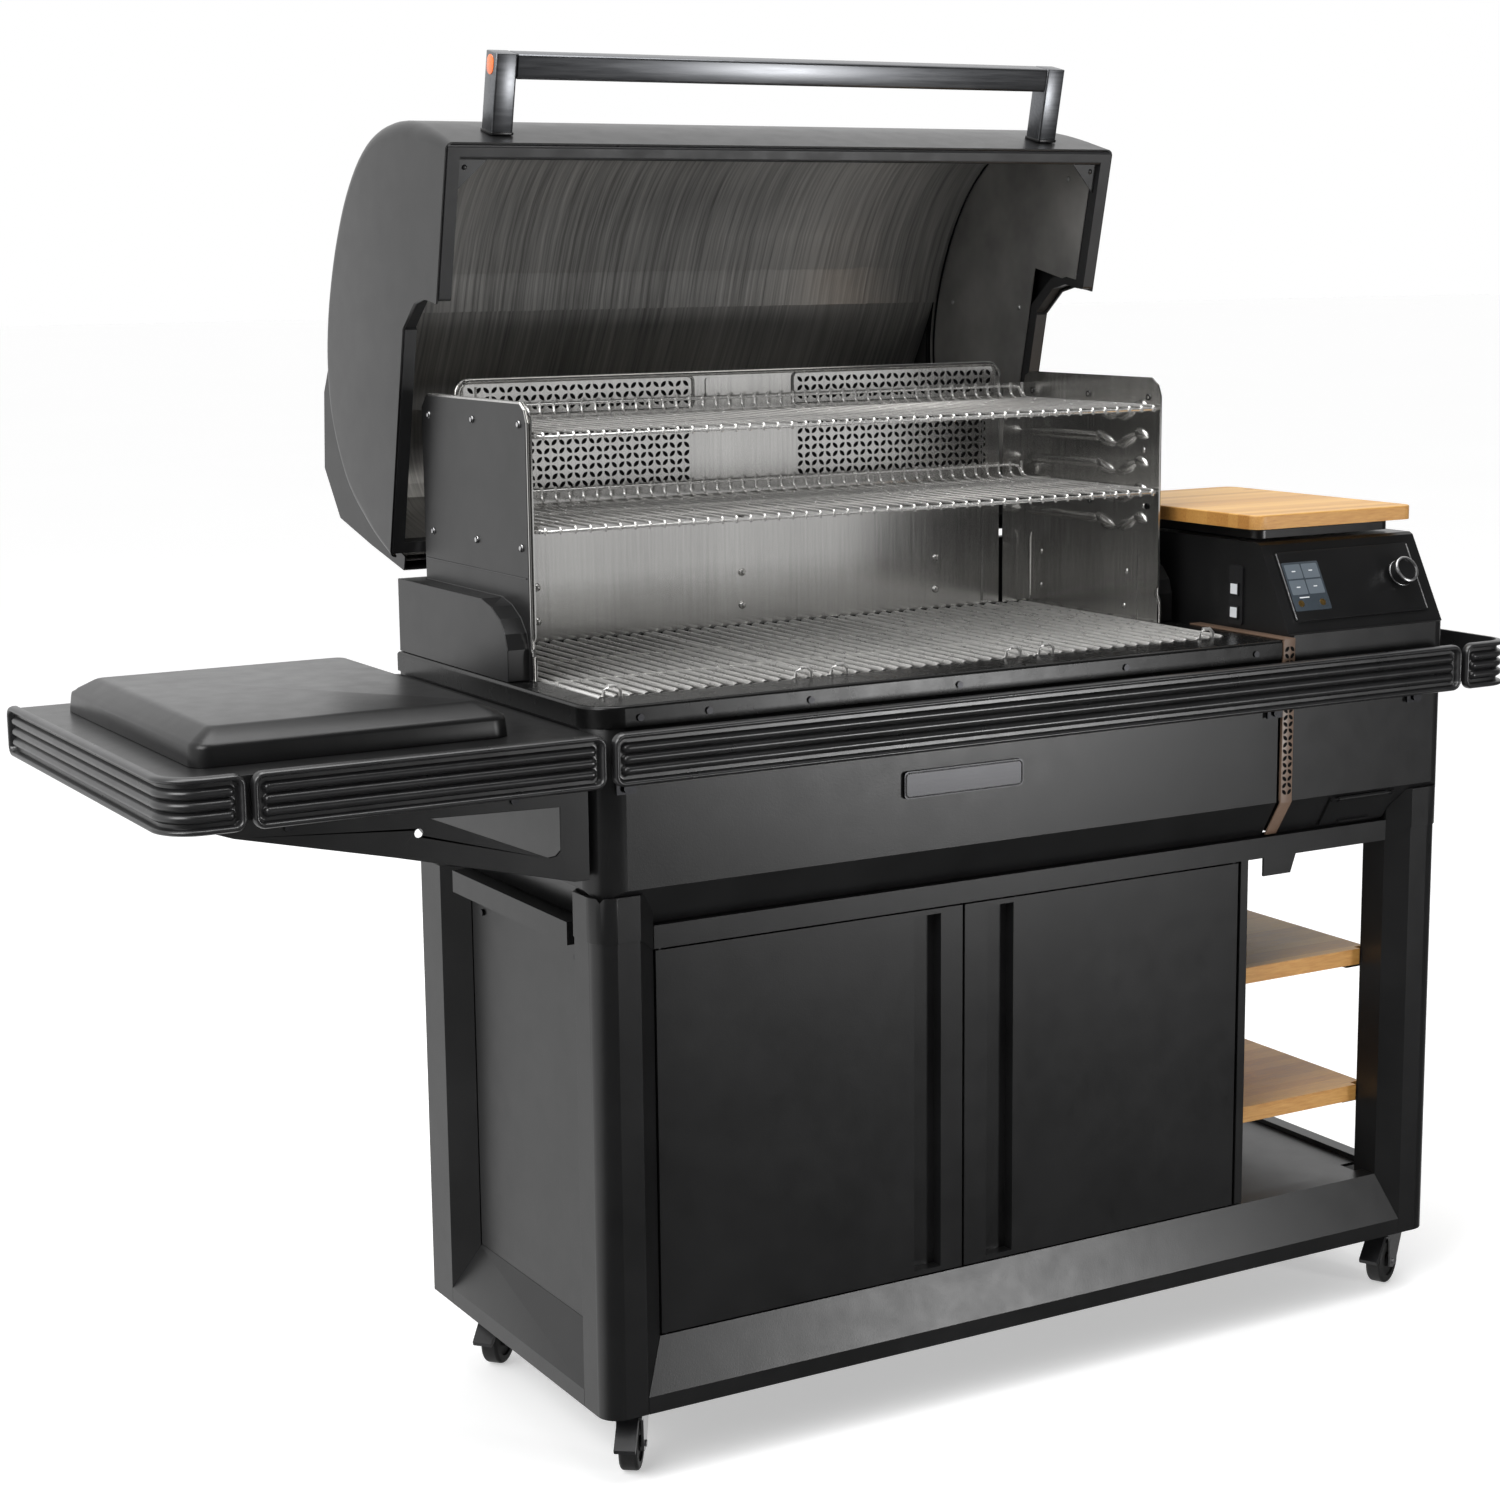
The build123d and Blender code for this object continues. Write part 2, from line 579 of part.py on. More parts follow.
def hopper_housing():
    lower = prism_x(body_profile(BODY_Y1), HOPPER_X0, CART_X1)
    lower += box(HOPPER_X0, CART_X1, BODY_Y0, BODY_Y1, BARREL_TOP - 1, HOPPER_DECK)
    corners = lower.edges().filter_by(Axis.Z).group_by(Axis.Y)[0].group_by(Axis.X)[-1]
    lower = fillet(corners, 20)
    lower &= end_outline(HOPPER_X0, CART_X1, 0, False, True)
    upper = prism_x(
        [(FACE_BOTTOM_Y, HOPPER_DECK - 1), (FACE_TOP_Y, HOPPER_TOP - 3), (FACE_TOP_Y + 6, HOPPER_TOP),
         (545, HOPPER_TOP), (545, HOPPER_DECK - 1)],
        HOPPER_X0, CART_X1)
    housing = lower + upper
    cavity = prism_x(
        [(BODY_Y0 + 3, HOPPER_DECK - 3), (BODY_Y0 + 3, CREASE_Z + 1),
         (BODY_Y0 + 3 + CREASE_DEPTH, BODY_Z0 + 3),
         (BODY_Y1 - 43, BODY_Z0 + 3), (BODY_Y1 - 3, CREASE_Z + 1), (BODY_Y1 - 3, HOPPER_DECK - 3),
         (542, HOPPER_DECK - 3), (542, HOPPER_TOP - 3), (FACE_TOP_Y + 6, HOPPER_TOP - 3),
         (FACE_BOTTOM_Y + 6, HOPPER_DECK - 3)],
        HOPPER_X0 + 3, CART_X1 - 3)
    edge = cavity.edges().filter_by(Axis.Z).group_by(Axis.Y)[0].group_by(Axis.X)[-1]
    cavity = fillet(edge, 17)
    housing -= cavity & end_outline(HOPPER_X0 + 3, CART_X1 - 3, 3, False, True)
    housing += hopper_bin()
    housing -= box(BIN_X0 + 2, BIN_X1 - 2, BIN_Y0 + 2, BIN_Y1 - 2, 860, HOPPER_TOP + 5)
    housing -= cyl_x(HOPPER_X0 - 10, HOPPER_X0 + 10, AUGER_Y, AUGER_Z, AUGER_TUBE_R + 0.5)
    housing -= cyl_x(HOPPER_X0 - 5, HOPPER_X0 + 5, PROBE_Y, 938, 3)
    return housing


def hopper_bin():
    mouth_z = AUGER_Z + 38
    x0, x1, y0, y1 = 1492.0, 1548.0, AUGER_Y - 20, AUGER_Y + 20
    outer = box(BIN_X0, BIN_X1, BIN_Y0, BIN_Y1, 870, HOPPER_TOP)
    funnel = loft([
        Plane.XY.offset(mouth_z) * Pos((x0 + x1) / 2, (y0 + y1) / 2) * Rectangle(x1 - x0, y1 - y0),
        Plane.XY.offset(870) * Pos((BIN_X0 + BIN_X1) / 2, (BIN_Y0 + BIN_Y1) / 2)
        * Rectangle(BIN_X1 - BIN_X0, BIN_Y1 - BIN_Y0),
    ])
    inner = loft([
        Plane.XY.offset(mouth_z - 0.01) * Pos((x0 + x1) / 2, (y0 + y1) / 2)
        * Rectangle(x1 - x0 - 6, y1 - y0 - 6),
        Plane.XY.offset(870.01) * Pos((BIN_X0 + BIN_X1) / 2, (BIN_Y0 + BIN_Y1) / 2)
        * Rectangle(BIN_X1 - BIN_X0 - 4, BIN_Y1 - BIN_Y0 - 4),
    ])
    outer -= box(BIN_X0 + 2, BIN_X1 - 2, BIN_Y0 + 2, BIN_Y1 - 2, 860, HOPPER_TOP + 5)
    return outer + (funnel - inner)


FACE_ANGLE = math.degrees(math.atan2(HOPPER_TOP - 3 - HOPPER_DECK + 1, FACE_TOP_Y - FACE_BOTTOM_Y))


def on_face(x, up, out):
    """Location on the slanted control face: x across, up along the slope, out from its surface."""
    base = Pos(x, FACE_BOTTOM_Y, HOPPER_DECK - 1) * Rot(FACE_ANGLE, 0, 0)
    return base * Pos(0, up, out)


PANEL_X0, PANEL_X1 = 1480.0, 1700.0
PANEL_UP0, PANEL_UP1 = 16.0, 110.0
KNOB_X = 1667.0
KNOB_UP = 66.0


def control_panel():
    mid = (PANEL_X0 + PANEL_X1) / 2
    up = (PANEL_UP0 + PANEL_UP1) / 2
    slab = on_face(mid, up, 1.6) * Box(PANEL_X1 - PANEL_X0, PANEL_UP1 - PANEL_UP0, 2.6)
    slab = fillet(slab.edges().group_by(SortBy.LENGTH)[0], 1.0)
    slab -= on_face(1513, 62, 2.4) * Box(59, 65, 2.6)
    slab += on_face(KNOB_X, KNOB_UP, 4.4) * Cylinder(19, 4)
    return slab - on_face(KNOB_X, KNOB_UP, 6) * Cylinder(4.06, 12)


def display_screen():
    return on_face(1513, 62, 2.3) * Box(58, 64, 2.2)


def control_knob():
    knob = on_face(KNOB_X, KNOB_UP, 16) * Cylinder(17.5, 18)
    knob = fillet(knob.edges().filter_by(GeomType.CIRCLE), 2.5)
    return knob + on_face(KNOB_X, KNOB_UP, 4.5) * Cylinder(4, 8)


PROBE_Y = 170.0


def probe_dock():
    x = HOPPER_X0 - 3.1
    dock = round_box(x, x + 3, PROBE_Y - 13, PROBE_Y + 13, 901, 977, 4, Axis.X)
    for z in (917, 947):
        dock += box(x - 3, x + 1, PROBE_Y - 8, PROBE_Y + 8, z - 8, z + 8)
    return dock


LID_HINGE_Y = 503.0
LID_HINGE_Z = 1019.0


def hopper_lid():
    plate = round_box(1476, 1700, 150, 493, HOPPER_TOP + 3, HOPPER_TOP + 13, 14)
    plate -= box(BIN_X0 + 4, BIN_X1 - 4, BIN_Y0 + 4, BIN_Y1 - 4, HOPPER_TOP + 1, HOPPER_TOP + 10.5)
    for x in (1510, 1666):
        plate += box(x - 12, x + 12, 480, 500, HOPPER_TOP + 9, HOPPER_TOP + 13)
        plate += cyl_x(x - 12, x + 12, LID_HINGE_Y, LID_HINGE_Z - 1, 6.5)
    plate += box(1684, 1698, 158, 172, HOPPER_TOP + 12, 1025.7)
    plate += box(1490, 1504, 158, 172, HOPPER_TOP + 12, 1025.7)
    plate += box(1684, 1698, 470, 484, HOPPER_TOP + 12, 1025.7)
    plate += box(1490, 1504, 440, 454, HOPPER_TOP + 12, 1025.7)
    for x in (1510, 1666):
        plate -= cyl_x(x - 13, x + 13, LID_HINGE_Y, LID_HINGE_Z - 1, 3.06)
    return plate


def hopper_hinges():
    ears = []
    for x in (1510, 1666):
        ear = box(x - 17, x - 13, 496, 512, HOPPER_TOP + 0.3, LID_HINGE_Z + 5)
        ear += box(x + 13, x + 17, 496, 512, HOPPER_TOP + 0.3, LID_HINGE_Z + 5)
        ear += box(x - 17, x + 17, 511, 520, HOPPER_TOP + 0.3, HOPPER_TOP + 3)
        ear += box(x - 17, x - 13, 505, 520, HOPPER_TOP + 0.3, HOPPER_TOP + 3)
        ear += box(x + 13, x + 17, 505, 520, HOPPER_TOP + 0.3, HOPPER_TOP + 3)
        ear += cyl_x(x - 17, x + 17, LID_HINGE_Y, LID_HINGE_Z - 1, 3)
        ears.append(ear)
    return ears


BOARD = (1447.0, 1712.0, 118.0, 488.0, 1026.0, 1044.0)


def cutting_board():
    x0, x1, y0, y1, z0, z1 = BOARD
    board = round_box(x0, x1, y0, y1, z0, z1, 18)
    return fillet(board.edges().group_by(Axis.Z)[-1], 2)


def power_inlet():
    y = BODY_Y1 + 0.3
    inlet = round_box(1600, 1650, y, y + 10, 760, 790, 3, Axis.Y)
    inlet -= round_box(1610, 1640, y + 2, y + 11, 765, 785, 3, Axis.Y)
    for x, z in ((1617, 772), (1633, 772), (1625, 779)):
        inlet += box(x - 1, x + 1, y + 1, y + 9, z - 3, z + 3)
    return inlet


CLEAN_X0, CLEAN_X1 = 1530.0, 1637.0


def slope_place():
    """Location at the middle of the slanted wall below the crease: local y climbs, local z points out."""
    y_mid = BODY_Y0 + CREASE_DEPTH / 2
    z_mid = (CREASE_Z + BODY_Z0) / 2
    angle = math.degrees(math.atan2(CREASE_Z - BODY_Z0, -CREASE_DEPTH))
    return Pos((CLEAN_X0 + CLEAN_X1) / 2, y_mid, z_mid) * Rot(angle, 0, 0)


CLEAN_HINGE_UP = 21.5
CLEAN_HINGE_OUT = 3.4


def cleanout_door():
    place = slope_place()
    length = CLEAN_X1 - CLEAN_X0
    door = place * Pos(0, -1, 2.0) * Box(length, 39, 2.4)
    door += place * Pos(0, -16, 4.6) * Box(50, 3, 4)
    hinge = place * Pos(0, CLEAN_HINGE_UP, CLEAN_HINGE_OUT) * Rot(0, 90, 0)
    door += place * Pos(0, 18.5, 2.6) * Box(length - 24, 5, 2.4)
    door += hinge * Cylinder(2.8, length - 24)
    return door - hinge * Cylinder(1.26, length + 4)


def cleanout_hinge():
    place = slope_place()
    length = CLEAN_X1 - CLEAN_X0
    hinge = place * Pos(0, CLEAN_HINGE_UP, CLEAN_HINGE_OUT) * Rot(0, 90, 0)
    pin = hinge * Cylinder(1.2, length)
    for side in (-1, 1):
        pin += place * Pos(side * (length / 2 - 3), CLEAN_HINGE_UP, 2.8) * Box(6, 4, 5)
    return pin


# ---------------------------------------------------------------- trim, rails, side shelf

STRAP_X0, STRAP_X1 = 1443.0, 1461.0


def accent_strap():
    profile = [
        (55, FLANGE_TOP + 2), (240, FLANGE_TOP + 2), (240, FLANGE_TOP - 1), (58, FLANGE_TOP - 1),
        (58, CREASE_Z), (58 + CREASE_DEPTH, BODY_Z0 + 1), (55 + CREASE_DEPTH, BODY_Z0 + 1),
        (55, CREASE_Z - 0.5),
    ]
    strap = prism_x(profile, STRAP_X0, STRAP_X1)
    strap += box(STRAP_X0, STRAP_X1, 57, 61, CREASE_Z + 2, FLANGE_TOP)
    for side in (-4.2, 4.2):
        for step in range(22):
            z = CREASE_Z + 12 + step * 8.6
            x = (STRAP_X0 + STRAP_X1) / 2 + side
            strap -= box(x - 2.2, x + 2.2, 50, 65, z - 2.6, z + 2.6)
    return strap


RAIL_Y = 22.0
RAIL_Z0 = 813.0
RAIL_Z1 = 872.0


def ribbed_rail(x0, x1):
    rail = round_box(x0, x1, RAIL_Y + 6, RAIL_Y + 10, RAIL_Z0, RAIL_Z1, 9, Axis.Y)
    border = round_box(x0, x1, RAIL_Y, RAIL_Y + 8, RAIL_Z0, RAIL_Z1, 9, Axis.Y)
    border -= round_box(x0 + 7, x1 - 7, RAIL_Y - 1, RAIL_Y + 9, RAIL_Z0 + 7, RAIL_Z1 - 7, 4, Axis.Y)
    rail += border
    for step in range(3):
        z = RAIL_Z0 + 17.5 + step * 12
        rail += round_box(x0 + 14, x1 - 14, RAIL_Y + 1, RAIL_Y + 8, z - 3, z + 3, 2.4, Axis.X)
    return rail


def wrap_rail():
    """Ribbed rail that turns the front left corner and runs to the back along the side."""
    radius = 45.0
    x1, y1 = 88.0, 588.0

    def band(out, thick, z0, z1):
        offset = out
        outer = [(offset, y1), (offset, RAIL_Y + radius)]
        arc = []
        for step in range(9):
            turn = math.radians(180 + 90 * step / 8)
            arc.append((radius + (radius - offset) * math.cos(turn),
                        RAIL_Y + radius + (radius - offset) * math.sin(turn)))
        inner_arc = []
        for step in range(9):
            turn = math.radians(270 - 90 * step / 8)
            inner_arc.append((radius + (radius - offset - thick) * math.cos(turn),
                              RAIL_Y + radius + (radius - offset - thick) * math.sin(turn)))
        points = [(offset, y1)] + arc + [(x1, RAIL_Y + offset), (x1, RAIL_Y + offset + thick)]
        points += inner_arc + [(offset + thick, y1)]
        return prism_z(points, z0, z1)

    rail = band(6, 4, RAIL_Z0, RAIL_Z1)
    rail += band(0, 8, RAIL_Z0, RAIL_Z0 + 7)
    rail += band(0, 8, RAIL_Z1 - 7, RAIL_Z1)
    for step in range(3):
        z = RAIL_Z0 + 17.5 + step * 12
        rail += band(1, 7, z - 3, z + 3)
    rail += box(x1 - 7, x1, RAIL_Y, RAIL_Y + 10, RAIL_Z0, RAIL_Z1)
    rail += box(0, 10, y1 - 7, y1, RAIL_Z0, RAIL_Z1)
    return rail


def right_wrap_rail():
    """Short ribbed loop handle on the right end of the body."""
    x1 = 1803.0
    x0 = CART_X1 + 0.5
    y0, y1 = 60.0, 520.0
    outer = round_box(x0 - 40, x1, y0 - 37, y1, RAIL_Z0, RAIL_Z1, 36)
    inner = round_box(x0 - 60, x1 - 10, y0 - 27, y1 - 10, RAIL_Z0 - 1, RAIL_Z1 + 1, 27)
    rail = outer - inner
    rail -= box(x0 - 60, x0, y0 - 50, y1 + 10, RAIL_Z0 - 1, RAIL_Z1 + 1)
    groove = round_box(x0 - 60, x1 + 5, y0 - 42, y1 + 5, RAIL_Z0 + 8, RAIL_Z0 + 14, 40)
    core = round_box(x0 - 80, x1 - 4, y0 - 33, y1 - 4, RAIL_Z0, RAIL_Z1, 33)
    ring = groove - core
    for step in range(4):
        rail -= Pos(0, 0, 12.3 * step) * ring
    return rail


def main_rail():
    return ribbed_rail(496, 1712)


def left_front_rail():
    return ribbed_rail(94, 488)


def rail_clips():
    clips = []
    for x in (525, 1430, 1660):
        clip = box(x - 9, x + 9, RAIL_Y + 10.5, BODY_Y0 - 4, RAIL_Z0 + 12, RAIL_Z1 - 14)
        clip += box(x - 12, x + 12, BODY_Y0 - 6, BODY_Y0 - 3.2, RAIL_Z0 - 14, RAIL_Z1 - 12)
        clip += cyl_y(x, BODY_Y0 - 10, BODY_Y0 - 5, RAIL_Z0 - 7, 5)
        clips.append(clip)
    return clips


SHELF_DECK = 868.0
SHELF_BACK = 584.0


def side_shelf():
    x0, x1 = 11.5, CART_X0 - 3.5
    y0, y1 = RAIL_Y + 11.5, SHELF_BACK
    deck = box(x0, x1, y0, y1, SHELF_DECK - 46, SHELF_DECK)
    corner = deck.edges().filter_by(Axis.Z).group_by(Axis.X)[0].group_by(Axis.Y)[0]
    deck = fillet(corner, 33)
    under = box(x0 + 2.5, x1 - 2.5, y0 + 2.5, y1 - 2.5, SHELF_DECK - 60, SHELF_DECK - 2.5)
    corner = under.edges().filter_by(Axis.Z).group_by(Axis.X)[0].group_by(Axis.Y)[0]
    under = fillet(corner, 30)
    deck -= under
    hole_x0, hole_x1, hole_y0, hole_y1 = COOKTOP
    return deck - box(hole_x0 - 1, hole_x1 + 1, hole_y0 - 1, hole_y1 + 1, SHELF_DECK - 5, SHELF_DECK + 1)


COOKTOP = (100.0, 372.0, 150.0, 490.0)


def cooktop_glass():
    x0, x1, y0, y1 = COOKTOP
    top = box(x0 - 8, x1 + 8, y0 - 8, y1 + 8, SHELF_DECK + 0.4, SHELF_DECK + 4.4)
    return top + box(x0, x1, y0, y1, SHELF_DECK - 36, SHELF_DECK + 1)


COVER = (56.0, 410.0, 90.0, 540.0, SHELF_DECK + 0.5, 899.0, 908.0)


def cooktop_cover():
    x0, x1, y0, y1, z0, z1, z2 = COVER
    wall = round_box(x0, x1, y0, y1, z0, z1, 14)
    cap = loft([
        Plane.XY.offset(z1) * Pos((x0 + x1) / 2, (y0 + y1) / 2) * RectangleRounded(x1 - x0, y1 - y0, 14),
        Plane.XY.offset(z2) * Pos((x0 + x1) / 2, (y0 + y1) / 2)
        * RectangleRounded(x1 - x0 - 56, y1 - y0 - 56, 8),
    ])
    cover = wall + cap
    cover -= box(x0 + 4, x1 - 4, y0 + 4, y1 - 4, z0 - 1, z1 - 3)
    grip = round_box(200, 322, y0 - 5, y0 + 5, z0 + 3, z0 + 13, 4, Axis.Y)
    return cover - grip


BRACKET_Z0 = 706.0


def shelf_bracket():
    x1 = CART_X0 - 4
    outline = [
        (46, 821), (x1, 821), (x1, BRACKET_Z0), (x1 - 17, BRACKET_Z0), (262, 757), (88, 797), (46, 812),
    ]
    plate = prism_y(outline, 70, 73)
    window = prism_y([(303, 794), (452, 790), (452, 742), (447, 737), (438, 736)], 60, 80)
    plate -= window
    plate -= cyl_y(289, 60, 80, 780, 5)
    flange = box(x1 - 2, x1 + 0.8, 70, 100, BRACKET_Z0, 821)
    ledge = box(60, x1, 70, 96, 818.6, 821)
    return plate + flange + ledge


def shelf_brackets():
    front = shelf_bracket()
    return [front, Pos(0, 470, 0) * front]


def badge_plate():
    return round_box(884, 1050, BODY_Y0 - 4.2, BODY_Y0 - 0.3, 754, 786, 5, Axis.Y)


def screw_y(x, y, z, radius=4.0, height=2.0):
    """Screw head standing out of a face whose outward normal is -Y."""
    return cyl_y(x, y - height, y, z, radius)


def frame_screws():
    heads = []
    for x in (507, 630, 760, 960, 1200, 1400):
        heads.append(screw_y(x if x > 520 else 545, BODY_Y0 - 2.8, 881))
    skin_x = CHAMBER_MID - PLATE_HALF - 3.4
    liner_x = CHAMBER_MID - PLATE_HALF + 2.3
    for y, z in ((544, 1186), (418, 1186), (290, 1186), (540, 1046), (412, 1046), (290, 1046)):
        for head in (cyl_x(skin_x - 2, skin_x, y, z, 4), cyl_x(liner_x, liner_x + 1, y, z, 4)):
            heads.append(head)
            heads.append(mirror_chamber(head))
    wall_y = PLATE_Y1 + 0.3
    for x in (667, 963, 1266):
        for z in (1040, 964, 921):
            heads.append(cyl_y(x, wall_y - 2.2, wall_y, z, 3.5))
    for y in (170, 425):
        heads.append(cyl_x(CART_X0 + 25.5, CART_X0 + 28.2, y, HEADER_Z0 - 22, 4))
    for x in (146, 399):
        heads.append(screw_y(x, 69.8, 803, 4.5, 2.2))
    return heads


# ---------------------------------------------------------------- doors, racks, grates, keg

DOOR_Y0 = 79.5
DOOR_Y1 = 98.0
DOOR_Z0 = 166.0
DOOR_Z1 = 613.5
DOOR_PIN_LEFT = 576.5
DOOR_PIN_RIGHT = 1392.0
DOOR_PIN_Y = 84.5
DOOR_PIN_R = 3.0
RUNNING_GAP = 0.06


def left_door():
    x0, x1 = 570.5, 980.5
    door = box(x0, x1, DOOR_Y0, DOOR_Y1, DOOR_Z0, DOOR_Z1)
    door -= box(912, 950, DOOR_Y0 - 1, DOOR_Y1 - 3, DOOR_Z0 + 6, DOOR_Z1 - 6)
    door -= box(x0 + 10, 909, DOOR_Y0 + 1.6, DOOR_Y1 + 1, DOOR_Z0 + 3, DOOR_Z1 - 3)
    door -= box(953, x1 - 2, DOOR_Y0 + 1.6, DOOR_Y1 + 1, DOOR_Z0 + 3, DOOR_Z1 - 3)
    door += cyl_z(DOOR_PIN_LEFT, DOOR_PIN_Y, DOOR_Z0 - 8, DOOR_Z0 + 1, DOOR_PIN_R)
    return door + cyl_z(DOOR_PIN_LEFT, DOOR_PIN_Y, DOOR_Z1 - 1, DOOR_Z1 + 9, DOOR_PIN_R)


def right_door():
    x0, x1 = 984.0, 1397.5
    door = box(x0, x1, DOOR_Y0, DOOR_Y1, DOOR_Z0, DOOR_Z1)
    door -= box(1016, 1054, DOOR_Y0 - 1, DOOR_Y1 - 3, DOOR_Z0 + 6, DOOR_Z1 - 6)
    door -= box(x0 + 2, 1013, DOOR_Y0 + 1.6, DOOR_Y1 + 1, DOOR_Z0 + 3, DOOR_Z1 - 3)
    door -= box(1057, x1 - 10, DOOR_Y0 + 1.6, DOOR_Y1 + 1, DOOR_Z0 + 3, DOOR_Z1 - 3)
    door += cyl_z(DOOR_PIN_RIGHT, DOOR_PIN_Y, DOOR_Z0 - 8, DOOR_Z0 + 1, DOOR_PIN_R)
    return door + cyl_z(DOOR_PIN_RIGHT, DOOR_PIN_Y, DOOR_Z1 - 1, DOOR_Z1 + 9, DOOR_PIN_R)


def wire_grid(x0, x1, y0, y1, z0, z1, pitch, wire, crossbars):
    """Welded wire panel: wires from front to back, joined by cross wires at the given Y values."""
    panel = box(x0, x1, y0, y1, z0, z1)
    count = max(2, round((x1 - x0 - wire) / pitch))
    step = (x1 - x0 - wire) / count
    gaps = []
    rows = sorted(crossbars)
    for index in range(count):
        a = x0 + wire + index * step
        b = x0 + (index + 1) * step
        for low, high in zip(rows[:-1], rows[1:]):
            gaps.append(box(a, b, low + wire / 2, high - wire / 2, z0 - 1, z1 + 1))
    return panel - gaps


def wire_rack(z_top):
    wire = 4.0
    x0, x1 = CHAMBER_MID - PLATE_HALF + 3.5, CHAMBER_MID + PLATE_HALF - 3.5
    y0, y1 = 262.0, 556.0
    rack = wire_grid(x0, x1, y0, y1, z_top - wire, z_top, 26.0, wire,
                     [y0 + wire / 2, y0 + 100, y0 + 200, y1 - wire / 2])
    rack += box(x0 + 60, x1 - 60, y1 - wire, y1, z_top - 1, z_top + 12)
    return rack


def upper_rack():
    return wire_rack(1172.0 + 0.4 + 4.0)


def middle_rack():
    return wire_rack(1065.0 + 0.4 + 4.0)


def grate_section(x0, x1):
    wire = 7.0
    top = GRATE_TOP + 0.6
    grate = wire_grid(x0, x1, GRATE_Y0, GRATE_Y1, top - GRATE_T, top, 20.0, wire,
                      [GRATE_Y0 + wire / 2, 268, 416, GRATE_Y1 - wire / 2])
    for x in (x0 + 18, x1 - 28):
        loop = box(x - 9, x + 9, GRATE_Y0, GRATE_Y0 + 4, top - 1, top + 9)
        grate += loop - box(x - 5, x + 5, GRATE_Y0 - 1, GRATE_Y0 + 5, top + 0.5, top + 5)
    return grate


GRATE_THIRD = (GRATE_X1 - GRATE_X0) / 3


def left_grate():
    return grate_section(GRATE_X0, GRATE_X0 + GRATE_THIRD - 1)


def middle_grate():
    return grate_section(GRATE_X0 + GRATE_THIRD + 1, GRATE_X0 + 2 * GRATE_THIRD - 1)


def right_grate():
    return grate_section(GRATE_X0 + 2 * GRATE_THIRD + 1, GRATE_X1)


def ash_keg():
    keg = round_box(KEG_X0 + 8, KEG_X1 - 8, KEG_Y0 + 4, KEG_Y1 - 4, KEG_Z0, KEG_Z1 - 8, 18)
    keg -= round_box(KEG_X0 + 10, KEG_X1 - 10, KEG_Y0 + 6, KEG_Y1 - 6, KEG_Z0 + 2, KEG_Z1, 16)
    rim = box(KEG_X0, KEG_X1, KEG_Y0 + 4, KEG_Y1 - 4, KEG_Z1 - 12, KEG_Z1 - 9.5)
    rim -= round_box(KEG_X0 + 9, KEG_X1 - 9, KEG_Y0 + 5, KEG_Y1 - 5, KEG_Z1 - 20, KEG_Z1, 17)
    keg += rim
    pull = box(1070, 1130, KEG_Y0 - 22, KEG_Y0 + 5, 520, 530)
    pull -= box(1076, 1124, KEG_Y0 - 16, KEG_Y0 + 4, 510, 540)
    return keg + pull


# ---------------------------------------------------------------- lid

LID_CURVE = [
    (57, 960), (58, 1012), (66, 1068), (88, 1124), (123, 1168), (177, 1205), (238, 1229), (298, 1242),
    (351, 1246), (398, 1242), (442, 1230), (474, 1215), (509, 1188), (543, 1150), (566, 1103),
    (580, 1050),
]


def lid_face(x, grow):
    """Closed lid profile in the plane X = x, moved inwards by the amount grow."""
    start = Vector(x, 60 + grow, LID_RIM_Z)
    end = Vector(x, 588 - grow, LID_REAR_RIM_Z)
    curve = []
    mid_y, mid_z = 320.0, 1010.0
    for y, z in LID_CURVE:
        dy, dz = y - mid_y, z - mid_z
        length = math.hypot(dy, dz)
        if z > 1000:
            curve.append(Vector(x, y - grow * dy / length, z - grow * dz / length))
        else:
            curve.append(Vector(x, y + grow, z))
    edge = Edge.make_spline([start] + curve + [end])
    notch = [
        Vector(x, 588 - grow, LID_REAR_RIM_Z), Vector(x, 300 - grow * 0.4, LID_REAR_RIM_Z),
        Vector(x, 262 - grow * 0.9, 962), Vector(x, 250 - grow, 936), Vector(x, 248 - grow, LID_RIM_Z),
        Vector(x, 60 + grow, LID_RIM_Z),
    ]
    edges = [edge] + [Edge.make_line(a, b) for a, b in zip(notch[:-1], notch[1:])]
    return Face(Wire(edges))


HOOD = [
    (330, 1244), (455, 1282), (553, 1268), (603, 1206), (606, 1098), (606, LID_REAR_RIM_Z),
    (430, LID_REAR_RIM_Z),
]


def shrink(points, amount):
    mid_y = 470.0
    mid_z = 1090.0
    out = []
    for y, z in points:
        dy, dz = y - mid_y, z - mid_z
        length = math.hypot(dy, dz)
        out.append((y - amount * dy / length, z - amount * dz / length))
    return out


def lid_block(grow, end_gap, hood_shrink):
    x0, x1 = LID_X0 + end_gap, LID_X1 - end_gap
    block = Solid.extrude(lid_face(x0, grow), Vector(x1 - x0, 0, 0))
    hood = prism_x(shrink(HOOD, hood_shrink), HOOD_X0 + min(end_gap, 3), HOOD_X1 - min(end_gap, 3))
    return block + hood


def open_lid(shape):
    axis = Axis((0, HINGE_Y, HINGE_Z), (1, 0, 0))
    return shape.rotate(axis, -LID_OPEN)


LID_LUG_X = (582.0, 1351.0)
LID_PIN_R = 5.0


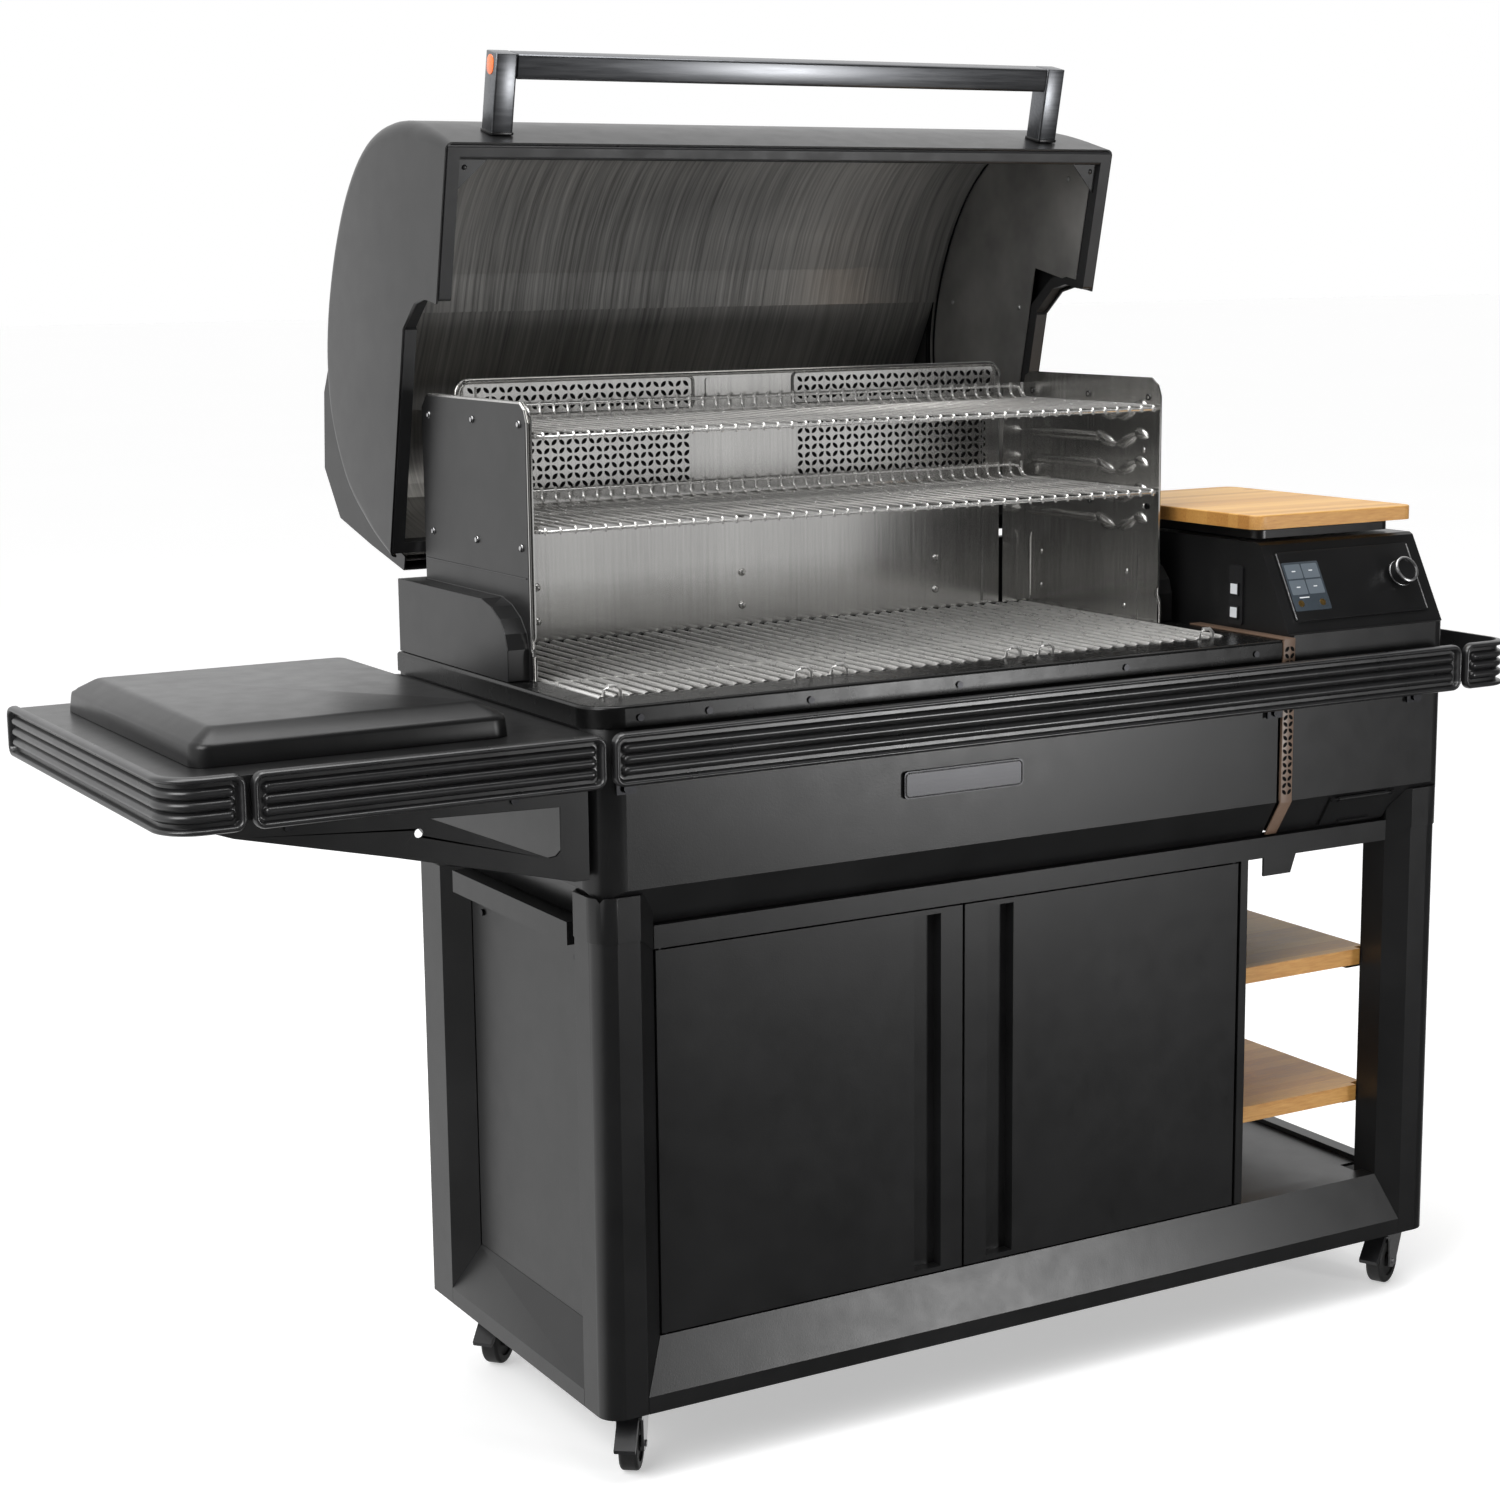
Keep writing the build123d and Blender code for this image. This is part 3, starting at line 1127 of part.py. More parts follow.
def lid_closed_shell():
    outer = lid_block(0, 0, 0)
    inner = lid_block(LID_SKIN, LID_SKIN, 3.4)
    slot = box(LID_X0 + LID_SKIN, LID_X1 - LID_SKIN, 60 + LID_SKIN, 248 - LID_SKIN, 890, 905)
    rear_slot = box(LID_X0 + LID_SKIN, LID_X1 - LID_SKIN, 300, 588 - LID_SKIN, 985, 1000)
    notch_slot = box(LID_X0 + LID_SKIN, LID_X1 - LID_SKIN, 240, 304, 890, 1000)
    shell = outer - inner - slot - rear_slot - notch_slot
    for x in LID_LUG_X:
        lug = prism_x([(604, 1060), (604, 1005), (606, HINGE_Z), (613, HINGE_Z - 9), (621, HINGE_Z),
                       (617, 1010), (608, 1060)], x - 8, x + 8)
        shell += lug
        shell += cyl_x(x - 20, x + 20, HINGE_Y, HINGE_Z, LID_PIN_R)
    return shell


def lid_shell():
    return open_lid(lid_closed_shell())


def lid_hinges():
    ears = []
    for x in LID_LUG_X:
        for side in (-1, 1):
            x0 = x + side * 15 - 4
            ear = prism_x([(592.5, 930), (592.5, 978), (604, 990), (613, 992), (622, 988), (624, HINGE_Z),
                           (620, 968), (602, 930)], x0, x0 + 8)
            ear -= cyl_x(x0 - 1, x0 + 9, HINGE_Y, HINGE_Z, LID_PIN_R + RUNNING_GAP)
            ears.append(ear)
    joined = []
    for index in (0, 2):
        x0 = LID_LUG_X[index // 2] - 19
        web = box(x0, x0 + 38, 592.5, 596, 930, 960)
        joined.append(ears[index] + ears[index + 1] + web)
    return joined


LINER_GAP = 14.0


def lid_liner():
    outer = lid_block(LINER_GAP, 18.5, 9.0)
    inner = lid_block(LINER_GAP + 1.5, 20.0, 11.0)
    low = box(LID_X0, LID_X1, 50, 270, 890, 914)
    low += box(LID_X0, LID_X1, 240, 620, 890, 1007)
    low += box(LID_X0 + 20, LID_X1 - 20, 226, 250, 890, 1007)
    return open_lid(outer - inner - low)


def lid_gasket():
    x0, x1 = LID_X0 + LID_SKIN + 0.4, LID_X1 - LID_SKIN - 0.4
    path = [
        (63, LID_RIM_Z - 2), (244.8, LID_RIM_Z - 2), (246.6, 936), (258.6, 963), (298.4, 993.4),
        (301, LID_REAR_RIM_Z - 1.5),
        (582.5, LID_REAR_RIM_Z - 1.5), (582.5, 1005.5), (290, 1005.5), (246, 970), (232, 940), (230, 913),
        (63, 913),
    ]
    side = prism_x(path, x0, x0 + 15.2)
    side = fillet(side.edges().filter_by(Axis.X).group_by(Axis.Z)[0], 4)
    other = prism_x(path, x1 - 15.2, x1)
    other = fillet(other.edges().filter_by(Axis.X).group_by(Axis.Z)[0], 4)
    front = round_box(x0, x1, 63, 80, LID_RIM_Z - 2, 913, 4, Axis.X)
    rear = box(x0, x1, 568.5, 582.5, LID_REAR_RIM_Z - 1.5, 1005.5)
    return open_lid(side + other + front + rear)


HANDLE_X0, HANDLE_X1 = 563.0, 1370.0
HANDLE_Y0 = -36.0
HANDLE_Z0, HANDLE_Z1 = 930.0, 960.0


def lid_handle():
    bar = round_box(HANDLE_X0, HANDLE_X1, HANDLE_Y0, HANDLE_Y0 + 29, HANDLE_Z0, HANDLE_Z1, 4, Axis.X)
    for x0 in (HANDLE_X0, HANDLE_X1 - 28):
        post = round_box(x0, x0 + 28, HANDLE_Y0, 57.0, HANDLE_Z0, HANDLE_Z1, 4, Axis.Y)
        bar += post
    return open_lid(bar)


# ---------------------------------------------------------------- casters


def at_caster(place, shape):
    x, y, turn = place
    return Pos(x, y, 0) * Rot(0, 0, turn) * shape


def caster_fork():
    top = CART_Z0 - 0.4
    fork = round_box(-24, 24, -20, 20, top - 3, top, 4)
    fork += Pos(0, 0, top - 7) * Cylinder(15, 9)
    fork += box(-14, 34, -16, 16, top - 12, top - 9)
    for side in (-1, 1):
        y0 = side * 14.5 - 1.5
        leg = prism_y([(-14, top - 9), (34, top - 9), (31, WHEEL_R - 6), (TRAIL, WHEEL_R - 9),
                       (13, WHEEL_R - 6)], y0, y0 + 3)
        fork += leg
    fork += cyl_y(TRAIL, -18, 18, WHEEL_R, 4)
    fork += cyl_y(40, -16, 16, top - 13, 2.5)
    fork += box(30, 40, -16, -13, top - 15.5, top - 9.5)
    return fork + box(30, 40, 13, 16, top - 15.5, top - 9.5)


def caster_wheel():
    wheel = cyl_y(TRAIL, -WHEEL_W / 2, WHEEL_W / 2, WHEEL_R, WHEEL_R)
    wheel = fillet(wheel.edges().filter_by(GeomType.CIRCLE), 4)
    wheel -= cyl_y(TRAIL, -WHEEL_W, WHEEL_W, WHEEL_R, 4.06)
    for side in (-1, 1):
        y0 = side * WHEEL_W / 2
        wheel -= cyl_y(TRAIL, y0 - 3, y0 + 3, WHEEL_R, 21) - cyl_y(TRAIL, y0 - 4, y0 + 4, WHEEL_R, 9)
    return wheel


def caster_brake():
    top = CART_Z0 - 13.4
    outline = [
        (37, top + 3), (44, top + 3), (72, top - 26), (70, top - 31), (62, top - 28), (40, top - 4),
    ]
    pedal = prism_y(outline, -12.4, 12.4)
    pedal += cyl_y(40, -12.4, 12.4, top, 5)
    pedal -= cyl_y(40, -13, 13, top, 2.56)
    guard = cyl_y(TRAIL, -12.5, 12.5, WHEEL_R, WHEEL_R + 3)
    return pedal - guard


# ---------------------------------------------------------------- export


def main():
    save("corner_posts", Compound(children=corner_posts()), True)
    save("frame_rails", Compound(children=frame_rails()), True)
    save("floor_plate", floor_plate())
    save("cabinet_panels", Compound(children=cabinet_panels()), True)
    save("bamboo_shelves", Compound(children=bamboo_shelves()), True)
    save("barrel_shell", barrel_shell())
    save("chamber_flange", chamber_flange())
    save("upper_frame", upper_frame())
    save("side_liners", Compound(children=side_liners()), True)
    save("chamber_back_wall", chamber_back_wall())
    save("heat_baffle", heat_baffle())
    save("drip_tray", drip_tray())
    save("fire_pot", Compound(children=fire_pot()), True)
    save("auger_tube", auger_tube())
    save("auger_screw", auger_screw())
    save("auger_motor", auger_motor())
    save("fan_housing", fan_housing())
    save("fan_rotor", fan_rotor())
    save("hopper_housing", hopper_housing())
    save("control_panel", control_panel())
    save("display_screen", display_screen())
    save("control_knob", control_knob())
    save("probe_dock", probe_dock())
    save("hopper_lid", hopper_lid())
    save("cutting_board", cutting_board())
    save("power_inlet", power_inlet())
    save("cleanout_door", cleanout_door())
    save("accent_strap", accent_strap())
    rails = [main_rail(), left_front_rail(), wrap_rail(), right_wrap_rail()]
    save("ribbed_rails", Compound(children=rails), True)
    save("side_shelf", side_shelf())
    save("cooktop_glass", cooktop_glass())
    save("cooktop_cover", cooktop_cover())
    save("shelf_brackets", Compound(children=shelf_brackets()), True)
    save("badge_plate", badge_plate())
    save("clips_and_screws", Compound(children=rail_clips() + frame_screws()), True)
    save("left_door", left_door())
    save("right_door", right_door())
    save("upper_rack", upper_rack())
    save("middle_rack", middle_rack())
    save("left_grate", left_grate())
    save("middle_grate", middle_grate())
    save("right_grate", right_grate())
    save("ash_keg", ash_keg())
    save("lid_shell", lid_shell())
    save("lid_liner", lid_liner())
    save("lid_gasket", lid_gasket())
    save("lid_handle", lid_handle())
    save("hinge_brackets", Compound(children=lid_hinges() + hopper_hinges() + [cleanout_hinge()]), True)
    for name, place in CASTERS.items():
        save(f"{name}_fork", at_caster(place, caster_fork()))
        save(f"{name}_wheel", at_caster(place, caster_wheel()))
        save(f"{name}_brake", at_caster(place, caster_brake()))


main()
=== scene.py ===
import json
import math

import bmesh
import bpy
from mathutils import Matrix, Vector

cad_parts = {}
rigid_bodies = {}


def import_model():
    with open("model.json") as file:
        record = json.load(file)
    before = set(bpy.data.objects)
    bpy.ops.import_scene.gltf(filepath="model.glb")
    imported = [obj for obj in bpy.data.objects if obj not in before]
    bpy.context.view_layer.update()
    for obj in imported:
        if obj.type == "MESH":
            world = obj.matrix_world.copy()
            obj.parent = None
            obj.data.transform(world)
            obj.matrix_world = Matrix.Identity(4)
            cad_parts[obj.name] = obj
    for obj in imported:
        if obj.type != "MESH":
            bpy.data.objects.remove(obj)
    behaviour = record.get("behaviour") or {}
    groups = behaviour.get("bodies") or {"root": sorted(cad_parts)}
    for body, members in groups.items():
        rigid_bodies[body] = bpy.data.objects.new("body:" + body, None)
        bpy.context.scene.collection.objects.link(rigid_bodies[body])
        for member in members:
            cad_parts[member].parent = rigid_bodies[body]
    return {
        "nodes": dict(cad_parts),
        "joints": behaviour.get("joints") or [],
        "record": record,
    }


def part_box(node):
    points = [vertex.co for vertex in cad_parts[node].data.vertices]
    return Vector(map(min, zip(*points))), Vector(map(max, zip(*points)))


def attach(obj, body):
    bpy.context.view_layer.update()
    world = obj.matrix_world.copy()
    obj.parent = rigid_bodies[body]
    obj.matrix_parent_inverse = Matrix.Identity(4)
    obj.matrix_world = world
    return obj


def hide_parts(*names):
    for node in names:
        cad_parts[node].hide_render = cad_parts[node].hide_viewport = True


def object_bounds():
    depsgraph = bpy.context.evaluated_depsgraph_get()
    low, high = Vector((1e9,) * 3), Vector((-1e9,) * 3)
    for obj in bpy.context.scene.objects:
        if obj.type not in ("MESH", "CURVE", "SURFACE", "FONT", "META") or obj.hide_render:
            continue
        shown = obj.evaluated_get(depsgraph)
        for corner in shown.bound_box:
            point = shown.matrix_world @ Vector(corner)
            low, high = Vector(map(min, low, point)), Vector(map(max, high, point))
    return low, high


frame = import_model()
LOW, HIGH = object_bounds()

# Design coordinates in millimetres: X from the left tip of the shelf rail, Y 22 mm ahead of the rails'
# face, Z from the ground.
ORIGIN_X = LOW.x
ORIGIN_Y = LOW.y - 0.022
LID_OPEN = math.radians(77.3)
LID_JOINT = next(j for j in frame["joints"] if j["name"] == "lid_hinge")
HINGE_Y = (LID_JOINT["pos_m"][1] - ORIGIN_Y) * 1000
HINGE_Z = LID_JOINT["pos_m"][2] * 1000
CHAMBER_MID = 966.5  # middle of the cooking chamber and of the lid, along X


def at(x, y, z):
    return Vector((ORIGIN_X + x * 0.001, ORIGIN_Y + y * 0.001, z * 0.001))


def opened(y, z):
    """Where a point of the closed lid lies with the lid open, in design millimetres."""
    dy, dz = y - HINGE_Y, z - HINGE_Z
    c, s = math.cos(LID_OPEN), math.sin(LID_OPEN)
    return HINGE_Y + dy * c + dz * s, HINGE_Z - dy * s + dz * c


# ---------------------------------------------------------------- materials


class Nodes:
    """Small helper that adds and links shader nodes."""

    def __init__(self, name):
        self.material = bpy.data.materials.new(name)
        self.material.use_nodes = True
        self.tree = self.material.node_tree
        self.shader = self.tree.nodes["Principled BSDF"]
        self.coords = self.tree.nodes.new("ShaderNodeTexCoord")

    def add(self, kind, **settings):
        node = self.tree.nodes.new(kind)
        for key, value in settings.items():
            if key.startswith("in_"):
                node.inputs[key[3:].replace("_", " ")].default_value = value
            else:
                setattr(node, key, value)
        return node

    def link(self, out, into):
        self.tree.links.new(out, into)

    def scaled(self, scale):
        mapping = self.add("ShaderNodeMapping")
        mapping.inputs["Scale"].default_value = scale
        self.link(self.coords.outputs["Object"], mapping.inputs["Vector"])
        return mapping.outputs["Vector"]

    def noise(self, scale, detail=3.0, stretch=(1, 1, 1), rough=0.55):
        node = self.add("ShaderNodeTexNoise", in_Scale=scale, in_Detail=detail, in_Roughness=rough)
        self.link(self.scaled(stretch), node.inputs["Vector"])
        return node.outputs["Fac"]

    def span(self, value, low, high, start=0.3, end=0.7):
        ends = {"in_From_Min": start, "in_From_Max": end, "in_To_Min": low, "in_To_Max": high}
        node = self.add("ShaderNodeMapRange", **ends)
        self.link(value, node.inputs["Value"])
        return node.outputs["Result"]

    def blend(self, value, first, second):
        node = self.add("ShaderNodeMix", data_type="RGBA")
        node.inputs[6].default_value = (*first, 1)
        node.inputs[7].default_value = (*second, 1)
        self.link(value, node.inputs[0])
        return node.outputs[2]

    def bump(self, value, distance, strength=1.0):
        node = self.add("ShaderNodeBump", in_Strength=strength, in_Distance=distance)
        self.link(value, node.inputs["Height"])
        self.link(node.outputs["Normal"], self.shader.inputs["Normal"])
        return node

    def set(self, **values):
        for key, value in values.items():
            self.shader.inputs[key.replace("_", " ")].default_value = value


def painted(name, dark, light, rough, grain=700, depth=0.00012, spread=0.08, coat=0.0, specular=0.5):
    n = Nodes(name)
    n.link(n.blend(n.span(n.noise(9, 4), 0, 1), dark, light), n.shader.inputs["Base Color"])
    n.link(n.span(n.noise(35, 3), rough - spread, rough + spread), n.shader.inputs["Roughness"])
    n.bump(n.noise(grain, 2), depth)
    n.set(Specular_IOR_Level=specular)
    if coat:
        n.set(Coat_Weight=coat, Coat_Roughness=0.06)
    return n.material


def brushed(name, dark, light, rough, stretch, depth=0.00003, spread=0.07, aniso=0.0, metal=1.0):
    n = Nodes(name)
    streak = n.noise(260, 4, stretch, 0.6)
    broad = n.noise(5, 2, stretch)
    mix = n.add("ShaderNodeMath", operation="ADD")
    n.link(streak, mix.inputs[0])
    n.link(broad, mix.inputs[1])
    n.link(n.blend(n.span(mix.outputs[0], 0, 1, 0.75, 1.25), dark, light), n.shader.inputs["Base Color"])
    n.link(n.span(streak, rough - spread, rough + spread), n.shader.inputs["Roughness"])
    if depth:
        n.bump(streak, depth, 0.6)
    n.set(Metallic=metal, Anisotropic=aniso)
    return n.material


def bamboo(name):
    """Laminated strips that run across the board, with fine grain; upright faces are darkened by their
    normal, partly for the end grain at the front and partly as painted shade.
    """
    n = Nodes(name)
    strips = n.add("ShaderNodeTexVoronoi", feature="F1", in_Scale=1.0, in_Randomness=0.25)
    n.link(n.scaled((3.2, 48, 10)), strips.inputs["Vector"])
    shade = n.add("ShaderNodeSeparateColor")
    n.link(strips.outputs["Color"], shade.inputs[0])
    grain = n.noise(30, 5, (1.6, 22, 14), 0.6)
    tone = n.add("ShaderNodeMath", operation="MULTIPLY_ADD")
    n.link(shade.outputs[0], tone.inputs[0])
    tone.inputs[1].default_value = 0.5
    n.link(n.span(grain, 0, 0.55), tone.inputs[2])
    ramp = n.add("ShaderNodeValToRGB")
    ramp.color_ramp.elements[0].color = (0.40, 0.18, 0.042, 1)
    ramp.color_ramp.elements[1].color = (0.74, 0.46, 0.145, 1)
    middle = ramp.color_ramp.elements.new(0.5)
    middle.color = (0.59, 0.32, 0.088, 1)
    n.link(tone.outputs[0], ramp.inputs[0])
    # Upright faces are multiplied darker by their normal: end grain at the front, and painted shade on every
    # upright face.
    normal = n.add("ShaderNodeSeparateXYZ")
    geometry = n.add("ShaderNodeNewGeometry")
    n.link(geometry.outputs["Normal"], normal.inputs[0])
    side = n.add("ShaderNodeMath", operation="ABSOLUTE")
    n.link(normal.outputs["Z"], side.inputs[0])
    end = n.add("ShaderNodeMix", data_type="RGBA", blend_type="MULTIPLY")
    n.link(n.span(side.outputs[0], 0.75, 0.0, 0.2, 0.8), end.inputs[0])
    n.link(ramp.outputs[0], end.inputs[6])
    end.inputs[7].default_value = (0.62, 0.5, 0.38, 1)
    n.link(end.outputs[2], n.shader.inputs["Base Color"])
    n.link(n.span(grain, 0.38, 0.52), n.shader.inputs["Roughness"])
    n.bump(grain, 0.00006)
    return n.material


MATERIALS = {
    "black_powder": painted(
        "black_powder", (0.006, 0.006, 0.0062), (0.010, 0.010, 0.0103),
        0.32, 620, 0.00007, 0.02, specular=0.40,
    ),
    "smooth_black": painted(
        "smooth_black", (0.006, 0.006, 0.0062), (0.009, 0.009, 0.0093),
        0.30, 900, 0.00003, 0.02, specular=0.36,
    ),
    "black_enamel": painted(
        "black_enamel", (0.003, 0.003, 0.003), (0.005, 0.005, 0.005),
        0.26, 90, 0.00004, 0.03, specular=0.3,
    ),
    "graphite": painted(
        "graphite", (0.008, 0.008, 0.0084), (0.013, 0.013, 0.0137),
        0.30, 800, 0.00003, 0.03, specular=0.75,
    ),
    "gunmetal": brushed(
        "gunmetal", (0.15, 0.155, 0.165), (0.22, 0.225, 0.235),
        0.34, (0.05, 1, 1), 0, 0.04,
    ),
    "bronze": painted("bronze", (0.10, 0.062, 0.042), (0.15, 0.098, 0.068), 0.38, 700, 0.00005, 0.06),
    "stainless": brushed(
        "stainless", (0.46, 0.455, 0.445), (0.60, 0.595, 0.58),
        0.22, (1, 1, 0.03), 0, 0.02, 0.4,
    ),
    "lid_steel": brushed(
        "lid_steel", (0.26, 0.257, 0.25), (0.62, 0.61, 0.59),
        0.33, (1, 0.02, 0.02), 0, 0.03, 0.5, metal=0.85,
    ),
    "bright_wire": brushed(
        "bright_wire", (0.66, 0.655, 0.64), (0.82, 0.81, 0.79),
        0.24, (1, 0.2, 1), 0, 0.04, metal=0.75,
    ),
    "grate_rod": brushed(
        "grate_rod", (0.62, 0.615, 0.60), (0.78, 0.77, 0.75),
        0.30, (1, 0.2, 1), 0, 0.05, metal=0.72,
    ),
    "zinc": brushed("zinc", (0.42, 0.42, 0.43), (0.6, 0.6, 0.6), 0.34, (1, 1, 1), 0.00001, 0.06),
    "dark_screw": brushed(
        "dark_screw", (0.03, 0.03, 0.032), (0.05, 0.05, 0.053),
        0.36, (1, 1, 1), 0.00001, 0.06,
    ),
    "badge_metal": brushed(
        "badge_metal", (0.05, 0.05, 0.052), (0.075, 0.075, 0.078),
        0.34, (0.1, 1, 1), 0.00001, 0.04,
    ),
    "plastic": painted("plastic", (0.008, 0.008, 0.009), (0.013, 0.013, 0.014), 0.42, 1100, 0.00006, 0.05),
    "rubber": painted("rubber", (0.009, 0.009, 0.009), (0.016, 0.016, 0.016), 0.62, 500, 0.0001, 0.08),
    "gasket": painted("gasket", (0.009, 0.009, 0.0095), (0.015, 0.015, 0.016), 0.42, 600, 0.00005, 0.06),
    "iron": painted("iron", (0.03, 0.029, 0.028), (0.06, 0.056, 0.052), 0.6, 300, 0.0002, 0.1),
    "screen": painted("screen", (0.035, 0.045, 0.055), (0.045, 0.056, 0.068), 0.14, 60, 0.00001, 0.02, 0.5),
    "tile": painted("tile", (0.10, 0.12, 0.14), (0.12, 0.14, 0.16), 0.2, 60, 0.00001, 0.02, 0.4),
    "white_mark": painted("white_mark", (0.60, 0.62, 0.64), (0.7, 0.72, 0.74), 0.4, 200, 0.00001, 0.02),
    "gold": brushed("gold", (0.55, 0.33, 0.10), (0.75, 0.5, 0.18), 0.3, (1, 1, 1), 0.00001, 0.05),
    "amber": painted("amber", (0.55, 0.085, 0.012), (0.8, 0.16, 0.02), 0.25, 60, 0.00002, 0.04, 0.6),
    "black_glass": painted(
        "black_glass", (0.004, 0.004, 0.005), (0.006, 0.006, 0.007),
        0.07, 30, 0.00001, 0.02, 0.7,
    ),
    # Near-black and barely reflecting: painted shade for punched openings and the cover's finger recess, and
    # the dark seam lines inside the lid.
    "hole": painted(
        "hole", (0.002, 0.002, 0.002), (0.004, 0.004, 0.004),
        0.8, 300, 0.00005, 0.05, specular=0.1,
    ),
    "bamboo": bamboo("bamboo"),
}
NODE_LOOK = {
    "lid_liner": "lid_steel", "drip_tray": "iron",
    "clips_and_screws": "dark_screw", "badge_plate": "badge_metal",
}

for record_node in frame["record"]["subparts"]:
    node = record_node["node"]
    look = NODE_LOOK.get(node, record_node["material_slot"])
    obj = frame["nodes"][node]
    obj.data.materials.clear()
    obj.data.materials.append(MATERIALS[look])


SOFT_EDGES = {
    "corner_posts": 1.6, "frame_rails": 1.0, "left_door": 0.9, "right_door": 0.9, "barrel_shell": 1.2,
    "hopper_housing": 1.2, "side_shelf": 1.2, "upper_frame": 1.0,
    "cabinet_panels": 0.6, "shelf_brackets": 0.6,
    "cutting_board": 1.0, "bamboo_shelves": 1.2,
}
for node, width in SOFT_EDGES.items():
    obj = frame["nodes"][node]
    weld = obj.modifiers.new("weld", "WELD")
    weld.merge_threshold = 0.00002
    soft = obj.modifiers.new("soft_edges", "BEVEL")
    soft.width = width * 0.001
    soft.segments = 2
    soft.limit_method = "ANGLE"
    soft.angle_limit = math.radians(32)
    soft.harden_normals = True

# ---------------------------------------------------------------- mesh helpers


class Shape:
    """Collects geometry given in design millimetres and turns it into one Blender object."""

    def __init__(self, lid=False):
        self.bm = bmesh.new()
        self.lid = lid

    def vert(self, x, y, z):
        if self.lid:
            y, z = opened(y, z)
        return self.bm.verts.new(at(x, y, z))

    def rings(self, rings, caps=True, loop=False):
        """Joins closed rings of points into a tube."""
        made = [[self.vert(*p) for p in ring] for ring in rings]
        pairs = list(zip(made[:-1], made[1:]))
        if loop:
            pairs.append((made[-1], made[0]))
        for a, b in pairs:
            for i in range(len(a)):
                j = (i + 1) % len(a)
                self.bm.faces.new((a[i], a[j], b[j], b[i]))
        if caps and not loop:
            self.bm.faces.new(list(reversed(made[0])))
            self.bm.faces.new(made[-1])
        return self

    def sheet(self, lines):
        """Open surface through lines of points."""
        made = [[self.vert(*p) for p in line] for line in lines]
        for a, b in zip(made[:-1], made[1:]):
            for i in range(len(a) - 1):
                self.bm.faces.new((a[i], a[i + 1], b[i + 1], b[i]))
        return self

    def prism(self, points, axis, a, b):
        """Extrudes a flat outline along an axis; points give the other two coordinates in order."""
        def place(p, t):
            if axis == "x":
                return (t, p[0], p[1])
            if axis == "y":
                return (p[0], t, p[1])
            return (p[0], p[1], t)
        return self.rings([[place(p, a) for p in points], [place(p, b) for p in points]])

    def box(self, x0, x1, y0, y1, z0, z1):
        return self.prism([(x0, y0), (x1, y0), (x1, y1), (x0, y1)], "z", z0, z1)

    def rod(self, path, radius, sides=8, loop=False):
        """Round wire along a path of points."""
        points = [Vector(p) for p in path]
        rings = []
        count = len(points)
        for i, p in enumerate(points):
            before = points[i - 1] if (i or loop) else p
            after = points[(i + 1) % count] if (i < count - 1 or loop) else p
            tangent = (after - before).normalized()
            guide = Vector((1, 0, 0)) if abs(tangent.x) < 0.9 else Vector((0, 0, 1))
            u = tangent.cross(guide).normalized()
            v = tangent.cross(u)
            turn = [2 * math.pi * k / sides for k in range(sides)]
            rings.append([tuple(p + radius * (math.cos(t) * u + math.sin(t) * v)) for t in turn])
        return self.rings(rings, loop=loop)

    def dome(self, centre, normal, radius, height, sides=16, steps=4):
        """Rounded screw or rivet head."""
        n = Vector(normal).normalized()
        guide = Vector((1, 0, 0)) if abs(n.x) < 0.9 else Vector((0, 0, 1))
        u = n.cross(guide).normalized()
        v = n.cross(u)
        rings = []
        for k in range(steps + 1):
            t = k / steps * math.pi / 2 * 0.92
            r, h = radius * math.cos(t), height * math.sin(t)
            rings.append([
                tuple(Vector(centre) + n * h + r * (math.cos(a) * u + math.sin(a) * v))
                for a in [2 * math.pi * i / sides for i in range(sides)]
            ])
        return self.rings(rings)

    def out(self, name, body, material, bevel=0.0, segments=2, angle=32, smooth=True):
        bmesh.ops.recalc_face_normals(self.bm, faces=self.bm.faces[:])
        mesh = bpy.data.meshes.new(name)
        self.bm.to_mesh(mesh)
        self.bm.free()
        obj = bpy.data.objects.new(name, mesh)
        bpy.context.scene.collection.objects.link(obj)
        names = [material] if isinstance(material, str) else material
        for entry in names:
            mesh.materials.append(MATERIALS[entry])
        if smooth:
            for face in mesh.polygons:
                face.use_smooth = True
        if bevel:
            mod = obj.modifiers.new("bevel", "BEVEL")
            mod.width = bevel * 0.001
            mod.segments = segments
            mod.limit_method = "ANGLE"
            mod.angle_limit = math.radians(30)
            mod.harden_normals = False
        if smooth:
            edge = obj.modifiers.new("split", "EDGE_SPLIT")
            edge.split_angle = math.radians(angle)
        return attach(obj, body)


def pill(x0, x1, z0, z1, radius, steps=6):
    """Outline of a rectangle with round corners, as pairs of coordinates."""
    points = []
    for cx, cz, start in (
        (x1 - radius, z1 - radius, 0), (x0 + radius, z1 - radius, 90),
        (x0 + radius, z0 + radius, 180), (x1 - radius, z0 + radius, 270),
    ):
        for k in range(steps + 1):
            a = math.radians(start + 90 * k / steps)
            points.append((cx + radius * math.cos(a), cz + radius * math.sin(a)))
    return points


# ---------------------------------------------------------------- racks and grates


